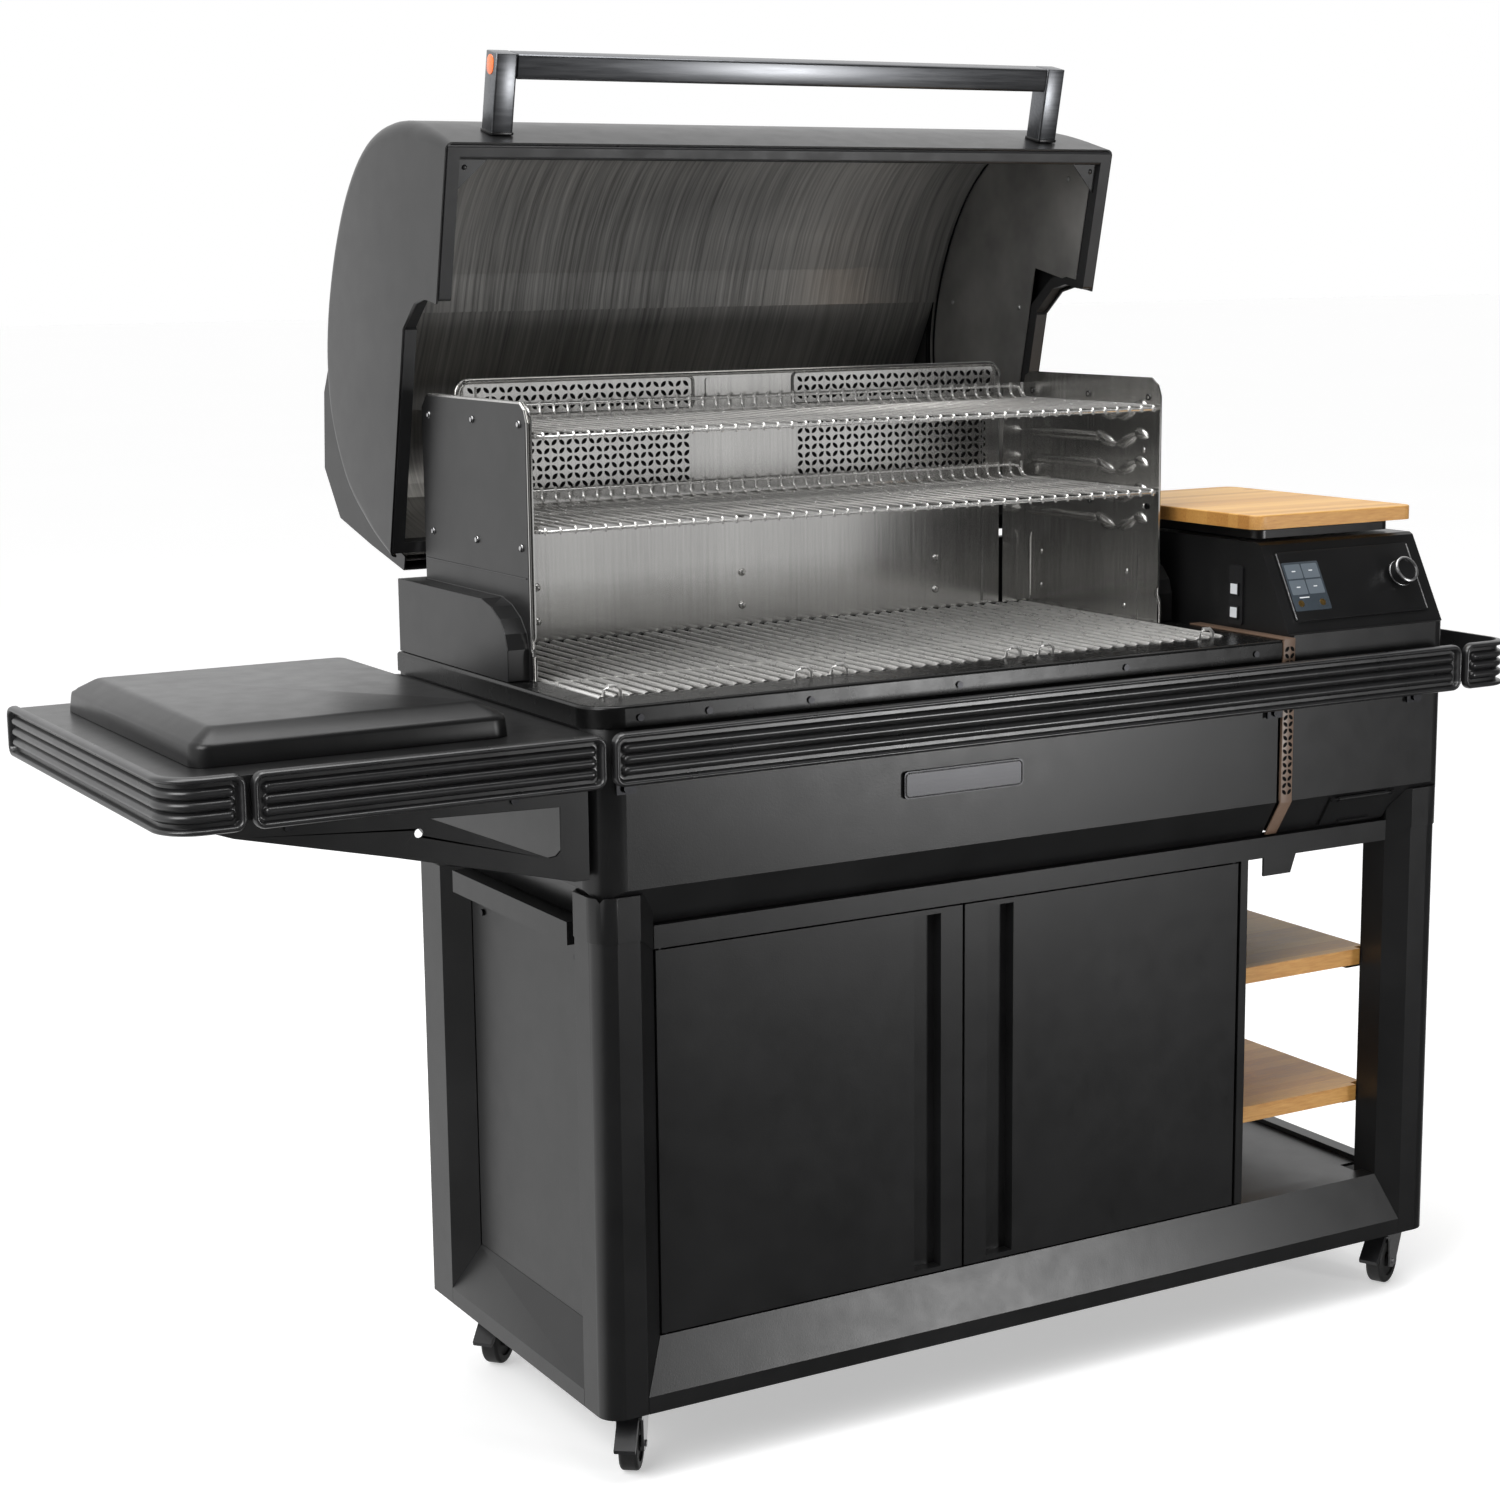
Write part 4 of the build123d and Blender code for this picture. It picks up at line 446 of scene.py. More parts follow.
def wire_rack(name, body):
    """Wire shelf: round wires from front to back, bent over the front wire and turned up at the back."""
    node_lo, node_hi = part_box(name)
    x0 = (node_lo.x - ORIGIN_X) * 1000
    x1 = (node_hi.x - ORIGIN_X) * 1000
    top = node_lo.z * 1000 + 4
    shape = Shape()
    front, back = 264.5, 549.0
    rim = [(x0 + 12, front, top - 4), (x1 - 12, front, top - 4), (x1 - 5, front + 3, top - 4),
           (x1 - 2.4, front + 10, top - 4), (x1 - 2.4, back - 10, top - 4), (x1 - 5, back - 3, top - 4),
           (x1 - 12, back, top - 4), (x0 + 12, back, top - 4), (x0 + 5, back - 3, top - 4),
           (x0 + 2.4, back - 10, top - 4), (x0 + 2.4, front + 10, top - 4), (x0 + 5, front + 3, top - 4)]
    shape.rod(rim, 2.4, 10, loop=True)
    for y in (360, 455):
        shape.rod([(x0 + 3, y, top - 4), (x1 - 3, y, top - 4)], 2.2, 8)
    upper = [(x0 + 10, back + 2, top + 1), (x0 + 16, back + 4, top + 14), (x0 + 24, back + 5, top + 16),
             (x1 - 24, back + 5, top + 16), (x1 - 16, back + 4, top + 14), (x1 - 10, back + 2, top + 1)]
    shape.rod(upper, 1.9, 8)
    count = 46
    for k in range(count):
        x = x0 + 11 + (x1 - x0 - 22) * k / (count - 1)
        path = [(x, front - 1.5, top - 7.5), (x, front - 2.6, top - 3), (x, front - 1.0, top - 0.6),
                (x, front + 2.5, top + 0.2), (x, back - 12, top + 0.2), (x, back - 3, top + 2.2),
                (x, back + 2.2, top + 8), (x, back + 3.2, top + 21)]
        shape.rod(path, 1.75, 6)
    obj = shape.out(name + "_wires", body, "bright_wire", angle=50)
    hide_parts(name)


wire_rack("upper_rack", "rack_upper")
wire_rack("middle_rack", "rack_middle")


def grate(name, body):
    """Section of the main cooking grate: rods welded on cross bars, with lift loops at the front."""
    node_lo, node_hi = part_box(name)
    x0 = (node_lo.x - ORIGIN_X) * 1000
    x1 = (node_hi.x - ORIGIN_X) * 1000
    top = 897.6
    y0, y1 = 124.0, 560.0
    shape = Shape()
    r = 3.4
    count = round((x1 - x0 - 2 * r) / 19.2)
    for k in range(count + 1):
        x = x0 + r + (x1 - x0 - 2 * r) * k / count
        bent_ends = [(y0 + 1, top - r - 1.2), (y0 + 4, top - r), (y1 - 4, top - r), (y1 - 1, top - r - 1.2)]
        shape.rod([(x, y, z) for y, z in bent_ends], r, 8)
    for y in (y0 + 6, 268, 416, y1 - 6):
        shape.rod([(x0 + 2, y, top - 7.2), (x1 - 2, y, top - 7.2)], 3.0, 8)
    for x in (x0 + 18, x1 - 28):
        loop = [(x - 11, y0 + 3, top - 6), (x - 10, y0 + 1.5, top + 4), (x - 5, y0 + 1.5, top + 9),
                (x + 5, y0 + 1.5, top + 9), (x + 10, y0 + 1.5, top + 4), (x + 11, y0 + 3, top - 6)]
        shape.rod(loop, 2.3, 8)
    obj = shape.out(name + "_rods", body, "grate_rod", angle=50)
    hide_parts(name)


grate("left_grate", "grate_left")
grate("middle_grate", "grate_middle")
grate("right_grate", "grate_right")


# ---------------------------------------------------------------- chamber plates

RIB_TOPS = (1172.0, 1136.0, 1100.0, 1065.0, 1028.0)


def bulge(shape, side, x_face, path, half, rise, steps=6):
    """Embossed ridge on a side plate: path gives (y, z, width scale) along its middle."""
    rings = []
    for index, (y, z, scale) in enumerate(path):
        prev = path[max(0, index - 1)]
        nxt = path[min(len(path) - 1, index + 1)]
        ty, tz = nxt[0] - prev[0], nxt[1] - prev[1]
        length = math.hypot(ty, tz) or 1
        ny, nz = -tz / length, ty / length
        ring = []
        for k in range(steps + 1):
            t = math.pi * k / steps
            off = half * scale * math.cos(t)
            out = rise * scale * math.sin(t)
            ring.append((x_face + side * out, y + ny * off, z + nz * off))
        ring.append((x_face - side * 0.4, y, z))
        rings.append(ring)
    shape.rings(rings)


def side_liner(side):
    """Stainless side plate of the chamber: hem, return flange, rack ribs, stops, patch plate and rivets."""
    def mx(x):
        return x if side > 0 else 2 * CHAMBER_MID - x

    shape = Shape()
    x0 = CHAMBER_MID - 445.5
    z0, z1 = 895.8, 1212.0
    outline = [
        (266, z0), (266, 923), (272, 931), (272, 938), (266, 945), (266, 1192), (272, 1203), (284, 1211.4),
        (549, 1212), (562, 1206), (565.6, 1195), (565.6, z0),
    ]
    shape.prism(outline, "x", mx(x0), mx(x0 + 1.8))
    for (ya, za), (yb, zb) in zip(
        [(266, z0), (266, 924), (270, 932), (270, 1188), (276, 1202), (288, 1210)],
        [(266, 924), (270, 932), (270, 1188), (276, 1202), (288, 1210), (548, 1210)],
    ):
        shape.rod([(mx(x0 - 2.2), ya, za), (mx(x0 - 2.2), yb, zb)], 1.6, 8)
        shape.rings([
            [(mx(x0 - 2.6), ya, za), (mx(x0 + 1.4), ya, za), (mx(x0 + 1.4), ya + 1.2, za - 0.4),
             (mx(x0 - 2.6), ya + 1.2, za - 0.4)],
            [(mx(x0 - 2.6), yb, zb), (mx(x0 + 1.4), yb, zb), (mx(x0 + 1.4), yb + 1.2, zb - 0.4),
             (mx(x0 - 2.6), yb + 1.2, zb - 0.4)],
        ])
    shape.box(*sorted((mx(x0 + 1), mx(x0 + 37))), 563.6, 565.2, z0, 1196)
    face = x0 + 1.8
    for top in RIB_TOPS:
        mid = top - 5
        rib = [
            (557, mid, 0.05), (550, mid, 0.75), (540, mid, 1),
            (405, mid, 1), (396, mid, 0.9), (390, mid + 2, 0.4),
        ]
        bulge(shape, side, mx(face), rib, 6.5, 3.6)
        wave = []
        for k in range(25):
            t = k / 24
            y = 396 - 92 * t
            z = mid + 5 - 13 * math.sin(math.pi * min(1, t * 1.15)) * (1 if t < 0.87 else 0.6)
            wave.append((y, z, 0.25 + 0.9 * abs(math.sin(2 * math.pi * t + 0.35))))
        bulge(shape, side, mx(face), wave, 7.5, 5.2)
        stop = [
            (318, mid + 9, 0.1), (312, mid + 9, 0.8), (303, mid + 8, 1),
            (294, mid + 5, 0.7), (289, mid + 3, 0.1),
        ]
        bulge(shape, side, mx(face), stop, 8, 5)
    slot = [(548, 905, 0.6), (548, 985, 0.9), (545, 992, 0.4)]
    bulge(shape, side, mx(face), slot, 4, 2)
    shape.box(*sorted((mx(face - 0.2), mx(face + 1.2))), 309, 540, z0, 982)
    for y, z in ((520, 968), (330, 958), (520, 922), (335, 912)):
        shape.dome((mx(face + 1.1), y, z), (side, 0, 0), 4, 2)
    for y, z in ((544, 1186), (418, 1186), (290, 1186), (540, 1046), (412, 1046), (298, 1118), (298, 1046)):
        shape.dome((mx(face), y, z), (side, 0, 0), 3.8, 2)
    name = "liner_left" if side > 0 else "liner_right"
    obj = shape.out(name, "base", "stainless", angle=40)
    return obj


LINERS = [side_liner(1), side_liner(-1)]
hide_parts("side_liners")


def petal(shape, x, z, y, angle, length=10.4, width=5.0):
    """Thin dark lens that stands for one punched opening: painted shade where the opening would show the dark
    space behind it.
    """
    c, s = math.cos(angle), math.sin(angle)
    points = []
    lens = (
        (-0.5, 0), (-0.25, 0.42), (0, 0.5), (0.25, 0.42), (0.5, 0), (0.25, -0.42), (0, -0.5), (-0.25, -0.42),
    )
    for t, w in lens:
        a, b = t * length, w * width
        points.append((x + a * c - b * s, y, z + a * s + b * c))
    verts = [shape.vert(*p) for p in points]
    shape.bm.faces.new(verts)


def back_wall():
    """Stainless rear wall with a rolled rim, punched panels, a blank plate and rivets."""
    x0, x1 = CHAMBER_MID - 404, CHAMBER_MID + 404
    shape = Shape()
    y = 566.6
    shape.prism(pill(x0, x1, 880, 1226, 18), "y", y, y + 1.6)
    rim = [(px, y - 2.2, pz) for px, pz in pill(x0 + 3, x1 - 3, 1000, 1223, 16, 5) if pz > 1100]
    rim = sorted(rim, key=lambda p: (p[0] > CHAMBER_MID, p[2] if p[0] < CHAMBER_MID else -p[2]))
    shape.rod(rim, 2.6, 8)
    for a, b in ((572, 894), (1042, 1362)):
        ring = [(px, y - 0.6, pz) for px, pz in pill(a, b, 1180, 1221, 8, 4)]
        shape.rod(ring, 1.9, 6, loop=True)
    for x in (x0 + 28, x1 - 28):
        shape.rod([(x, y - 0.4, 900), (x, y - 0.4, 1216)], 1.4, 6)
    shape.prism(pill(912, 1018, 1193, 1217, 3, 3), "y", y - 1.6, y)
    for x in (667, 963, 1266):
        for z in (1040, 964, 921):
            shape.dome((x, y, z), (0, -1, 0), 5.2, 4.2)
    wall = shape.out("rear_wall_sheet", "base", "stainless", angle=40)
    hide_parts("chamber_back_wall")
    # The punched openings are dark lenses of painted shade laid on the sheet, not cut through it.
    holes = Shape()
    pitch = 10.4
    panels = (
        (578, 889, 1184, 1217), (1048, 1357, 1184, 1217), (586, 889, 1086, 1160), (1048, 1349, 1086, 1160),
    )
    for a, b, low, high in panels:
        columns = int((b - a) / pitch)
        rows = int((high - low) / pitch)
        for i in range(columns):
            for j in range(rows):
                x = a + (i + 0.5) * (b - a) / columns
                z = low + (j + 0.5) * (high - low) / rows
                petal(holes, x, z, y - 0.35, math.radians(45 if (i + j) % 2 else -45))
    dark = holes.out("rear_wall_openings", "base", "hole", smooth=False)


back_wall()


def outer_screws():
    """Bright screw heads on the outsides of the side plates, and the plates' step line."""
    heads = Shape()
    steps = Shape()
    for side in (1, -1):
        x = 517.6 if side > 0 else 2 * CHAMBER_MID - 517.6
        for y, z in ((544, 1186), (418, 1186), (290, 1186), (540, 1046), (412, 1046), (290, 1046)):
            heads.dome((x, y, z), (-side, 0, 0), 4.5, 2.6)
        steps.rod([(x, 278, 1012), (x, 562, 1012)], 0.8, 6)
    obj = heads.out("side_plate_screws", "base", "zinc")
    line = steps.out("side_plate_steps", "base", "graphite")


outer_screws()


# ---------------------------------------------------------------- rails

RAIL_Z0, RAIL_Z1 = 813.0, 872.0


RAIL_MID = (RAIL_Z0 + RAIL_Z1) / 2
RAIL_ROUND = 13.0


def rail_height(s, length, z):
    """How far the rail's face stands out at a distance s along it: round border, three round ribs."""
    ex = min(s, length - s)
    ez = min(z - RAIL_Z0, RAIL_Z1 - z)
    if ex < RAIL_ROUND and ez < RAIL_ROUND:
        inside = RAIL_ROUND - math.hypot(RAIL_ROUND - ex, RAIL_ROUND - ez)
    else:
        inside = min(ex, ez)
    border = 1 - ((inside - 3.6) / 3.8) ** 2
    height = 7.6 * math.sqrt(border) if border > 0 else 0.0
    along = max(17.0 - s, s - (length - 17.0), 0.0)
    for middle in (RAIL_MID - 12.2, RAIL_MID, RAIL_MID + 12.2):
        rib = 1 - (math.hypot(along, z - middle) / 5.2) ** 2
        if rib > 0:
            height = max(height, 5.8 * math.sqrt(rib))
    return height


def rail_strip(shape, pieces):
    """One ribbed rail along a plan path of lines and arcs, given as points with inward normals."""
    lengths = [0.0]
    for a, b in zip(pieces[:-1], pieces[1:]):
        lengths.append(lengths[-1] + math.hypot(b[0] - a[0], b[1] - a[1]))
    total = lengths[-1]
    stops = [0, 0.25, 0.8, 1.7, 2.9, 4.2, 5.6, 7.0, 8.4, 9.8, 11.2, 12.4, 13.6, 15, 16.4, 18.5, 22]
    marks = sorted(set(stops + [total - v for v in stops] + [v for v in lengths if 22 < v < total - 22]))
    rings = []
    for s in marks:
        k = max(i for i in range(len(lengths) - 1) if lengths[i] <= s + 1e-9)
        t = (s - lengths[k]) / (lengths[k + 1] - lengths[k])
        x, y, nx, ny = (pieces[k][i] + t * (pieces[k + 1][i] - pieces[k][i]) for i in range(4))
        size = math.hypot(nx, ny)
        nx, ny = nx / size, ny / size
        edge = min(s, total - s)
        cut = 0
        if edge < RAIL_ROUND:
            cut = RAIL_ROUND - math.sqrt(max(0.0, RAIL_ROUND ** 2 - (RAIL_ROUND - edge) ** 2))
        z0, z1 = RAIL_Z0 + cut, RAIL_Z1 - cut
        ring = [(x + nx * 9.6, y + ny * 9.6, z0)]
        for q in range(47):
            z = z0 + (z1 - z0) * (0.5 - 0.5 * math.cos(math.pi * q / 46)) * 0.25 + (z1 - z0) * q / 46 * 0.75
            depth = 8.0 - rail_height(s, total, z)
            ring.append((x + nx * depth, y + ny * depth, z))
        ring.append((x + nx * 9.6, y + ny * 9.6, z1))
        rings.append(ring)
    shape.rings(rings)


def arc(cx, cy, radius, start, end, steps=9):
    """Plan points of an outside corner with their inward normals."""
    out = []
    for k in range(steps + 1):
        a = math.radians(start + (end - start) * k / steps)
        out.append((cx + radius * math.cos(a), cy + radius * math.sin(a), -math.cos(a), -math.sin(a)))
    return out


def rails():
    y = 22.0
    shape = Shape()
    rail_strip(shape, [(496, y, 0, 1), (1712, y, 0, 1)])
    rail_strip(shape, [(94, y, 0, 1), (488, y, 0, 1)])
    rail_strip(shape, [(0, 588, 1, 0)] + arc(45, 67, 45, 180, 270) + [(88, y, 0, 1)])
    corners = arc(1767, 59, 36, 270, 360) + arc(1767, 484, 36, 0, 90)
    rail_strip(shape, [(1719, 23, 0, 1)] + corners + [(1719, 520, 0, -1)])
    obj = shape.out("ribbed_rail_set", "base", "graphite", angle=60)
    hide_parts("ribbed_rails")


rails()


# ---------------------------------------------------------------- lid handle and rim


def lid_handle():
    x0, x1 = 563.0, 1370.0
    y0, y1 = -36.0, -7.0
    z0, z1 = 930.0, 960.0
    shape = Shape(lid=True)
    shape.prism(pill(y0, y1, z0, z1, 3.2, 3), "x", x0 + 29, x1 - 29)
    for a in (x0, x1 - 28):
        shape.prism(pill(a, a + 28, z0, z1, 3.2, 3), "y", y0, 57.5)
    obj = shape.out("handle_bar", "lid", "gunmetal", bevel=0.8, angle=40)
    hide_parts("lid_handle")
    cap = Shape(lid=True)
    cap.prism([(y, z) for y, z in pill(-33, -10, 936, 954, 8.8, 8)], "x", x0 - 0.8, x0 + 0.5)
    lens = cap.out("handle_end_lens", "lid", "amber", bevel=0.4)
    collar = Shape(lid=True)
    for a in (x0, x1 - 28):
        collar.prism(pill(a - 1.2, a + 29.2, z0 - 1.2, z1 + 1.2, 4, 3), "y", 53.5, 57.2)
    ring = collar.out("handle_feet", "lid", "smooth_black", bevel=0.5)


lid_handle()


LID_X0, LID_X1 = 492.0, 1441.0
LID_CURVE = [
    (60, 899), (57, 960), (58, 1012), (66, 1068), (88, 1124), (123, 1168), (177, 1205), (238, 1229),
    (298, 1242), (351, 1246), (398, 1242), (442, 1230), (474, 1215), (509, 1188), (543, 1150), (566, 1103),
    (580, 1050), (588, 992),
]
LID_NOTCH = [(300, 992), (262, 962), (250, 936), (248, 899)]
LINING_HOOD = [
    (351, 1236), (400, 1251), (455, 1267), (520, 1263), (560, 1240), (590, 1196), (594, 1098), (592, 1010),
]
HOOD = [(330, 1244), (455, 1282), (553, 1268), (603, 1206), (606, 1098), (606, 993)]


def smooth_line(points, steps=4):
    """Smooth curve through the points, with evenly split spans."""
    out = []
    for i in range(len(points) - 1):
        p0, p1 = points[max(0, i - 1)], points[i]
        p2, p3 = points[i + 1], points[min(len(points) - 1, i + 2)]
        for k in range(steps):
            t = k / steps
            out.append(tuple(
                0.5 * (2 * b + (c - a) * t + (2 * a - 5 * b + 4 * c - d) * t * t
                       + (3 * b - a - 3 * c + d) * t ** 3)
                for a, b, c, d in zip(p0, p1, p2, p3)
            ))
    out.append(points[-1])
    return out


LID_LINE = smooth_line(LID_CURVE)


def lid_inset(amounts):
    """The closed lid's outline moved inwards, by its own amount at each point."""
    out = []
    for i, (y, z) in enumerate(LID_LINE):
        a, b = LID_LINE[max(0, i - 1)], LID_LINE[min(len(LID_LINE) - 1, i + 1)]
        ty, tz = b[0] - a[0], b[1] - a[1]
        size = math.hypot(ty, tz)
        out.append((y + tz / size * amounts[i], z - ty / size * amounts[i]))
    out[0] = (out[0][0], 899)
    out[-1] = (out[-1][0], 992)
    return out


def lid_skin():
    """Pressed lid with rounded ends, its hood over the hinge side, and the hinge lugs."""
    count = len(LID_LINE)
    radii = [8.5 + 11.5 * min(1, i / 7, (count - 1 - i) / 7) for i in range(count)]
    skin = Shape(lid=True)
    for side, x_end in ((1, LID_X0), (-1, LID_X1)):
        rows = []
        for k in range(7):
            a = math.pi / 2 * k / 6
            line = lid_inset([r * (1 - math.sin(a)) for r in radii])
            rows.append([skin.vert(x_end + side * r * (1 - math.cos(a)), *p) for r, p in zip(radii, line)])
        middle = [skin.vert(966.5, *p) for p in LID_LINE]
        rows.append(middle)
        under_hood = next(i for i, p in enumerate(LID_LINE) if p[0] > HOOD[0][0])
        for a, b in zip(rows[:-1], rows[1:]):
            for i in range(under_hood if b is middle else count - 1):
                skin.bm.faces.new((a[i], a[i + 1], b[i + 1], b[i]))
        notch = [skin.vert(x_end, *p) for p in LID_NOTCH]
        skin.bm.faces.new(rows[0] + notch)
    bmesh.ops.remove_doubles(skin.bm, verts=skin.bm.verts[:], dist=1e-6)
    hood = [[skin.vert(x, *p) for p in HOOD] for x in (LID_X0 + 20, LID_X1 - 20)]
    for i in range(len(HOOD) - 1):
        skin.bm.faces.new((hood[0][i], hood[0][i + 1], hood[1][i + 1], hood[1][i]))
    for row, x in zip(hood, (LID_X0 + 20, LID_X1 - 20)):
        under = [skin.vert(x, *p) for p in reversed(LID_LINE) if p[0] > HOOD[0][0]]
        skin.bm.faces.new(row + under)
    shell = skin.out("lid_pressing", "lid", "black_powder", angle=38)
    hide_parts("lid_shell")
    wall = shell.modifiers.new("wall", "SOLIDIFY")
    wall.thickness = 0.0022
    wall.offset = -1
    shell.modifiers.move(len(shell.modifiers) - 1, 0)
    lugs = Shape(lid=True)
    outline = [(604, 1060), (604, 1005), (606, 981), (613, 972), (621, 981), (617, 1010), (608, 1060)]
    for x in (582.0, 1351.0):
        lugs.prism(outline, "x", x - 8, x + 8)
        lugs.rod([(x - 20, 613, 981), (x + 20, 613, 981)], 5, 20)
    lug = lugs.out("lid_lugs", "lid", "smooth_black", bevel=0.5)


lid_skin()


def lid_rim():
    """Rolled edge round the opening, corner brackets, and the seams of the inner sheet."""
    edge = Shape(lid=True)
    seam = Shape(lid=True)
    for side, x_end in ((1, LID_X0), (-1, LID_X1)):
        x = x_end + side * 2.2
        edge.rod([(x, 246, 900.5)] + [(x, y, z + (1.5 if z > 990 else 0)) for y, z in reversed(LID_NOTCH[:3])]
                 + [(x, 580, 993.5)], 1.5, 8)
        edge.rod([(x, 72, 900.5), (x, 246, 900.5)], 1.5, 8)
        inner = lid_inset([17.0] * len(LID_LINE))
        seam.rod([(x_end + side * 20.5, y, z) for y, z in inner[3:-3]], 1.5, 6)
        plate = [(x_end + side * a, b) for a, b in ((19, 81), (56, 81), (19, 118))]
        edge.prism(plate, "z", 905, 907)
        edge.dome((x_end + side * 28, 90, 905), (0, 0, -1), 3.4, 1.8)
    edge.rod([(LID_X0 + 14, 61.6, 900.5), (LID_X1 - 14, 61.6, 900.5)], 1.5, 8)
    obj = edge.out("lid_rim", "lid", "graphite", angle=40)
    line = seam.out("lid_seams", "lid", "hole", angle=50)
    sheet = Shape(lid=True)
    ahead = [p for p in lid_inset([16.6] * len(LID_LINE))[2:] if p[0] < 225]
    path = [(20.3, *p) for p in ahead + [(238, 1213), (298, 1227)]]
    path += [(24.4, *p) for p in smooth_line([(298, 1227), *LINING_HOOD], 3)]
    sheet.sheet([[(x + side * a, y, z) for a, y, z in path] for side, x in ((1, LID_X0), (-1, LID_X1))])
    lining = sheet.out("lid_lining", "lid", "lid_steel", angle=50)
    rivets = Shape(lid=True)
    for x, normal in ((LID_X0 + 20.2, 1), (LID_X1 - 20.2, -1)):
        for y, z in ((110, 960), (330, 1190), (300, 1030)):
            rivets.dome((x, y, z), (normal, 0, 0), 3.6, 2)
    rivet = rivets.out("lid_rivets", "lid", "zinc")


lid_rim()


# ---------------------------------------------------------------- strap, badge, cover


def strap():
    """Bronze strap over the joint of the two bodies, with a double column of leaf-shaped openings drawn as
    dark lenses of painted shade.
    """
    shape = Shape()
    profile = [
        (55.2, 896.6), (240, 896.6), (240, 894.6), (58, 894.6), (58, 690), (86, 644.2), (83.4, 644.2),
        (55.2, 689.6),
    ]
    shape.prism(profile, "x", 1443, 1461)
    shape.box(1444, 1460, 58, 60.6, 692, 894)
    band = shape.out("strap_band", "base", "bronze", bevel=0.5)
    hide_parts("accent_strap")
    # Each opening is a dark lens of painted shade on the solid band.
    leaves = Shape()
    rows = 22
    for row in range(rows):
        for column in range(2):
            lean = 1 if (row + column) % 2 else -1
            petal(leaves, 1447.9 + 8.2 * column, 703 + row * 8.6, 54.9, math.radians(45 * lean), 8.8, 4.6)
    leaf = leaves.out("strap_openings", "base", "hole", smooth=False)
    frame_line = Shape()
    frame_line.rod([(x, 55.7, z) for x, z in pill(886, 1048, 756, 784, 5, 4)], 0.9, 6, loop=True)
    rim = frame_line.out("badge_border", "base", "zinc")
    ports = Shape()
    for z in (917, 947):
        ports.box(1456.7, 1457.0, 163.5, 176.5, z - 6.5, z + 6.5)
    port = ports.out("probe_ports", "base", "white_mark", smooth=False)


strap()


def cover():
    """Hollow pressed cover of the side cooktop with soft shoulders, and a finger recess at its front shown
    only as a dark patch of painted shade.
    """
    z0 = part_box("cooktop_cover")[0].z * 1000
    levels = [
        (0.0, z0), (0.0, z0 + 3), (1.6, z0 + 18), (2.4, z0 + 22), (6.4, z0 + 24.5), (8.4, z0 + 26.5),
        (24.0, 904.2), (27.0, 905.6), (31, 906.2),
    ]

    def ring(inset, z, extra=0.0):
        a = inset + extra
        return [(x, y, z) for x, y in pill(56 + a, 410 - a, 90 + a, 540 - a, max(4, 22 - 0.4 * a), 6)]

    rings = [ring(inset, z - (2 if k > 2 else 0), 2.2) for k, (inset, z) in reversed(list(enumerate(levels)))]
    rings += [ring(inset, z) for inset, z in levels]
    shape = Shape()
    shape.rings(rings)
    shell = shape.out("cover_pressing", "cover", "smooth_black", angle=50)
    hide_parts("cooktop_cover")
    # The finger recess is a thin dark band of painted shade on the cover's front, not a hollow in it.
    grip = Shape()
    grip.rings([[(x, 90.9 + 3.2 * (z - z0 - 3) / 15, z) for x, z in pill(232, 330, z0 + 5, z0 + 15, 4.5, 5)],
                [(x, 90.2 + 3.2 * (z - z0 - 3) / 15, z)
                 for x, z in pill(230, 332, z0 + 3.6, z0 + 16.4, 5.5, 5)]])
    recess = grip.out("cover_recess", "cover", "hole", angle=50)


cover()


# ---------------------------------------------------------------- controller

CONTROL_LOW = (70.0, 898.0)
CONTROL_HIGH = (128.0, 1005.0)
SLOPE = math.atan2(CONTROL_HIGH[1] - CONTROL_LOW[1], CONTROL_HIGH[0] - CONTROL_LOW[0])


def on_face(x, up, out):
    """Point on the slanted control face: across, up the slope and out of its surface."""
    y = CONTROL_LOW[0] + up * math.cos(SLOPE) - out * math.sin(SLOPE)
    z = CONTROL_LOW[1] + up * math.sin(SLOPE) + out * math.cos(SLOPE)
    return (x, y, z)


def face_plate(shape, outline, low, high):
    shape.rings([[on_face(x, up, low) for x, up in outline], [on_face(x, up, high) for x, up in outline]])


def controller():
    shape = Shape()
    face_plate(shape, pill(1480, 1700, 16, 110, 5, 3), 0.4, 2.8)
    panel = shape.out("control_face", "base", "smooth_black", bevel=0.4)
    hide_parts("control_panel")
    edge = Shape()
    for x in (1481.2, 1698.8):
        edge.rod([on_face(x, 18, 2.4), on_face(x, 108, 2.4)], 1.1, 6)
    trim = edge.out("control_edges", "base", "zinc")
    screen = Shape()
    face_plate(screen, pill(1484, 1543, 29, 95, 2, 2), 1.0, 3.1)
    glass = screen.out("display_glass", "base", "screen", bevel=0.3)
    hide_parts("display_screen")
    tiles = Shape()
    for i in range(2):
        for j in range(2):
            tile = pill(1487 + 27.5 * i, 1512.5 + 27.5 * i, 51 + 21.5 * j, 70.5 + 21.5 * j, 1.5, 2)
            face_plate(tiles, tile, 3.1, 3.25)
    tile = tiles.out("display_tiles", "base", "tile", smooth=False)
    marks = Shape()
    for i in range(2):
        for j in range(2):
            cx, cy = 1499.7 + 27.5 * i, 61 + 21.5 * j
            face_plate(marks, pill(cx - 3, cx + 3, cy - 0.7, cy + 0.7, 0.6, 2), 3.25, 3.4)
    face_plate(marks, pill(1496, 1512, 46.2, 47.6, 0.6, 2), 3.1, 3.3)
    mark = marks.out("display_marks", "base", "white_mark", smooth=False)
    dots = Shape()
    for x in (1496, 1531):
        face_plate(dots, pill(x - 4.4, x + 4.4, 34.5, 43.3, 4.3, 5), 3.1, 3.5)
    dot = dots.out("display_dots", "base", "gold", smooth=False)


controller()


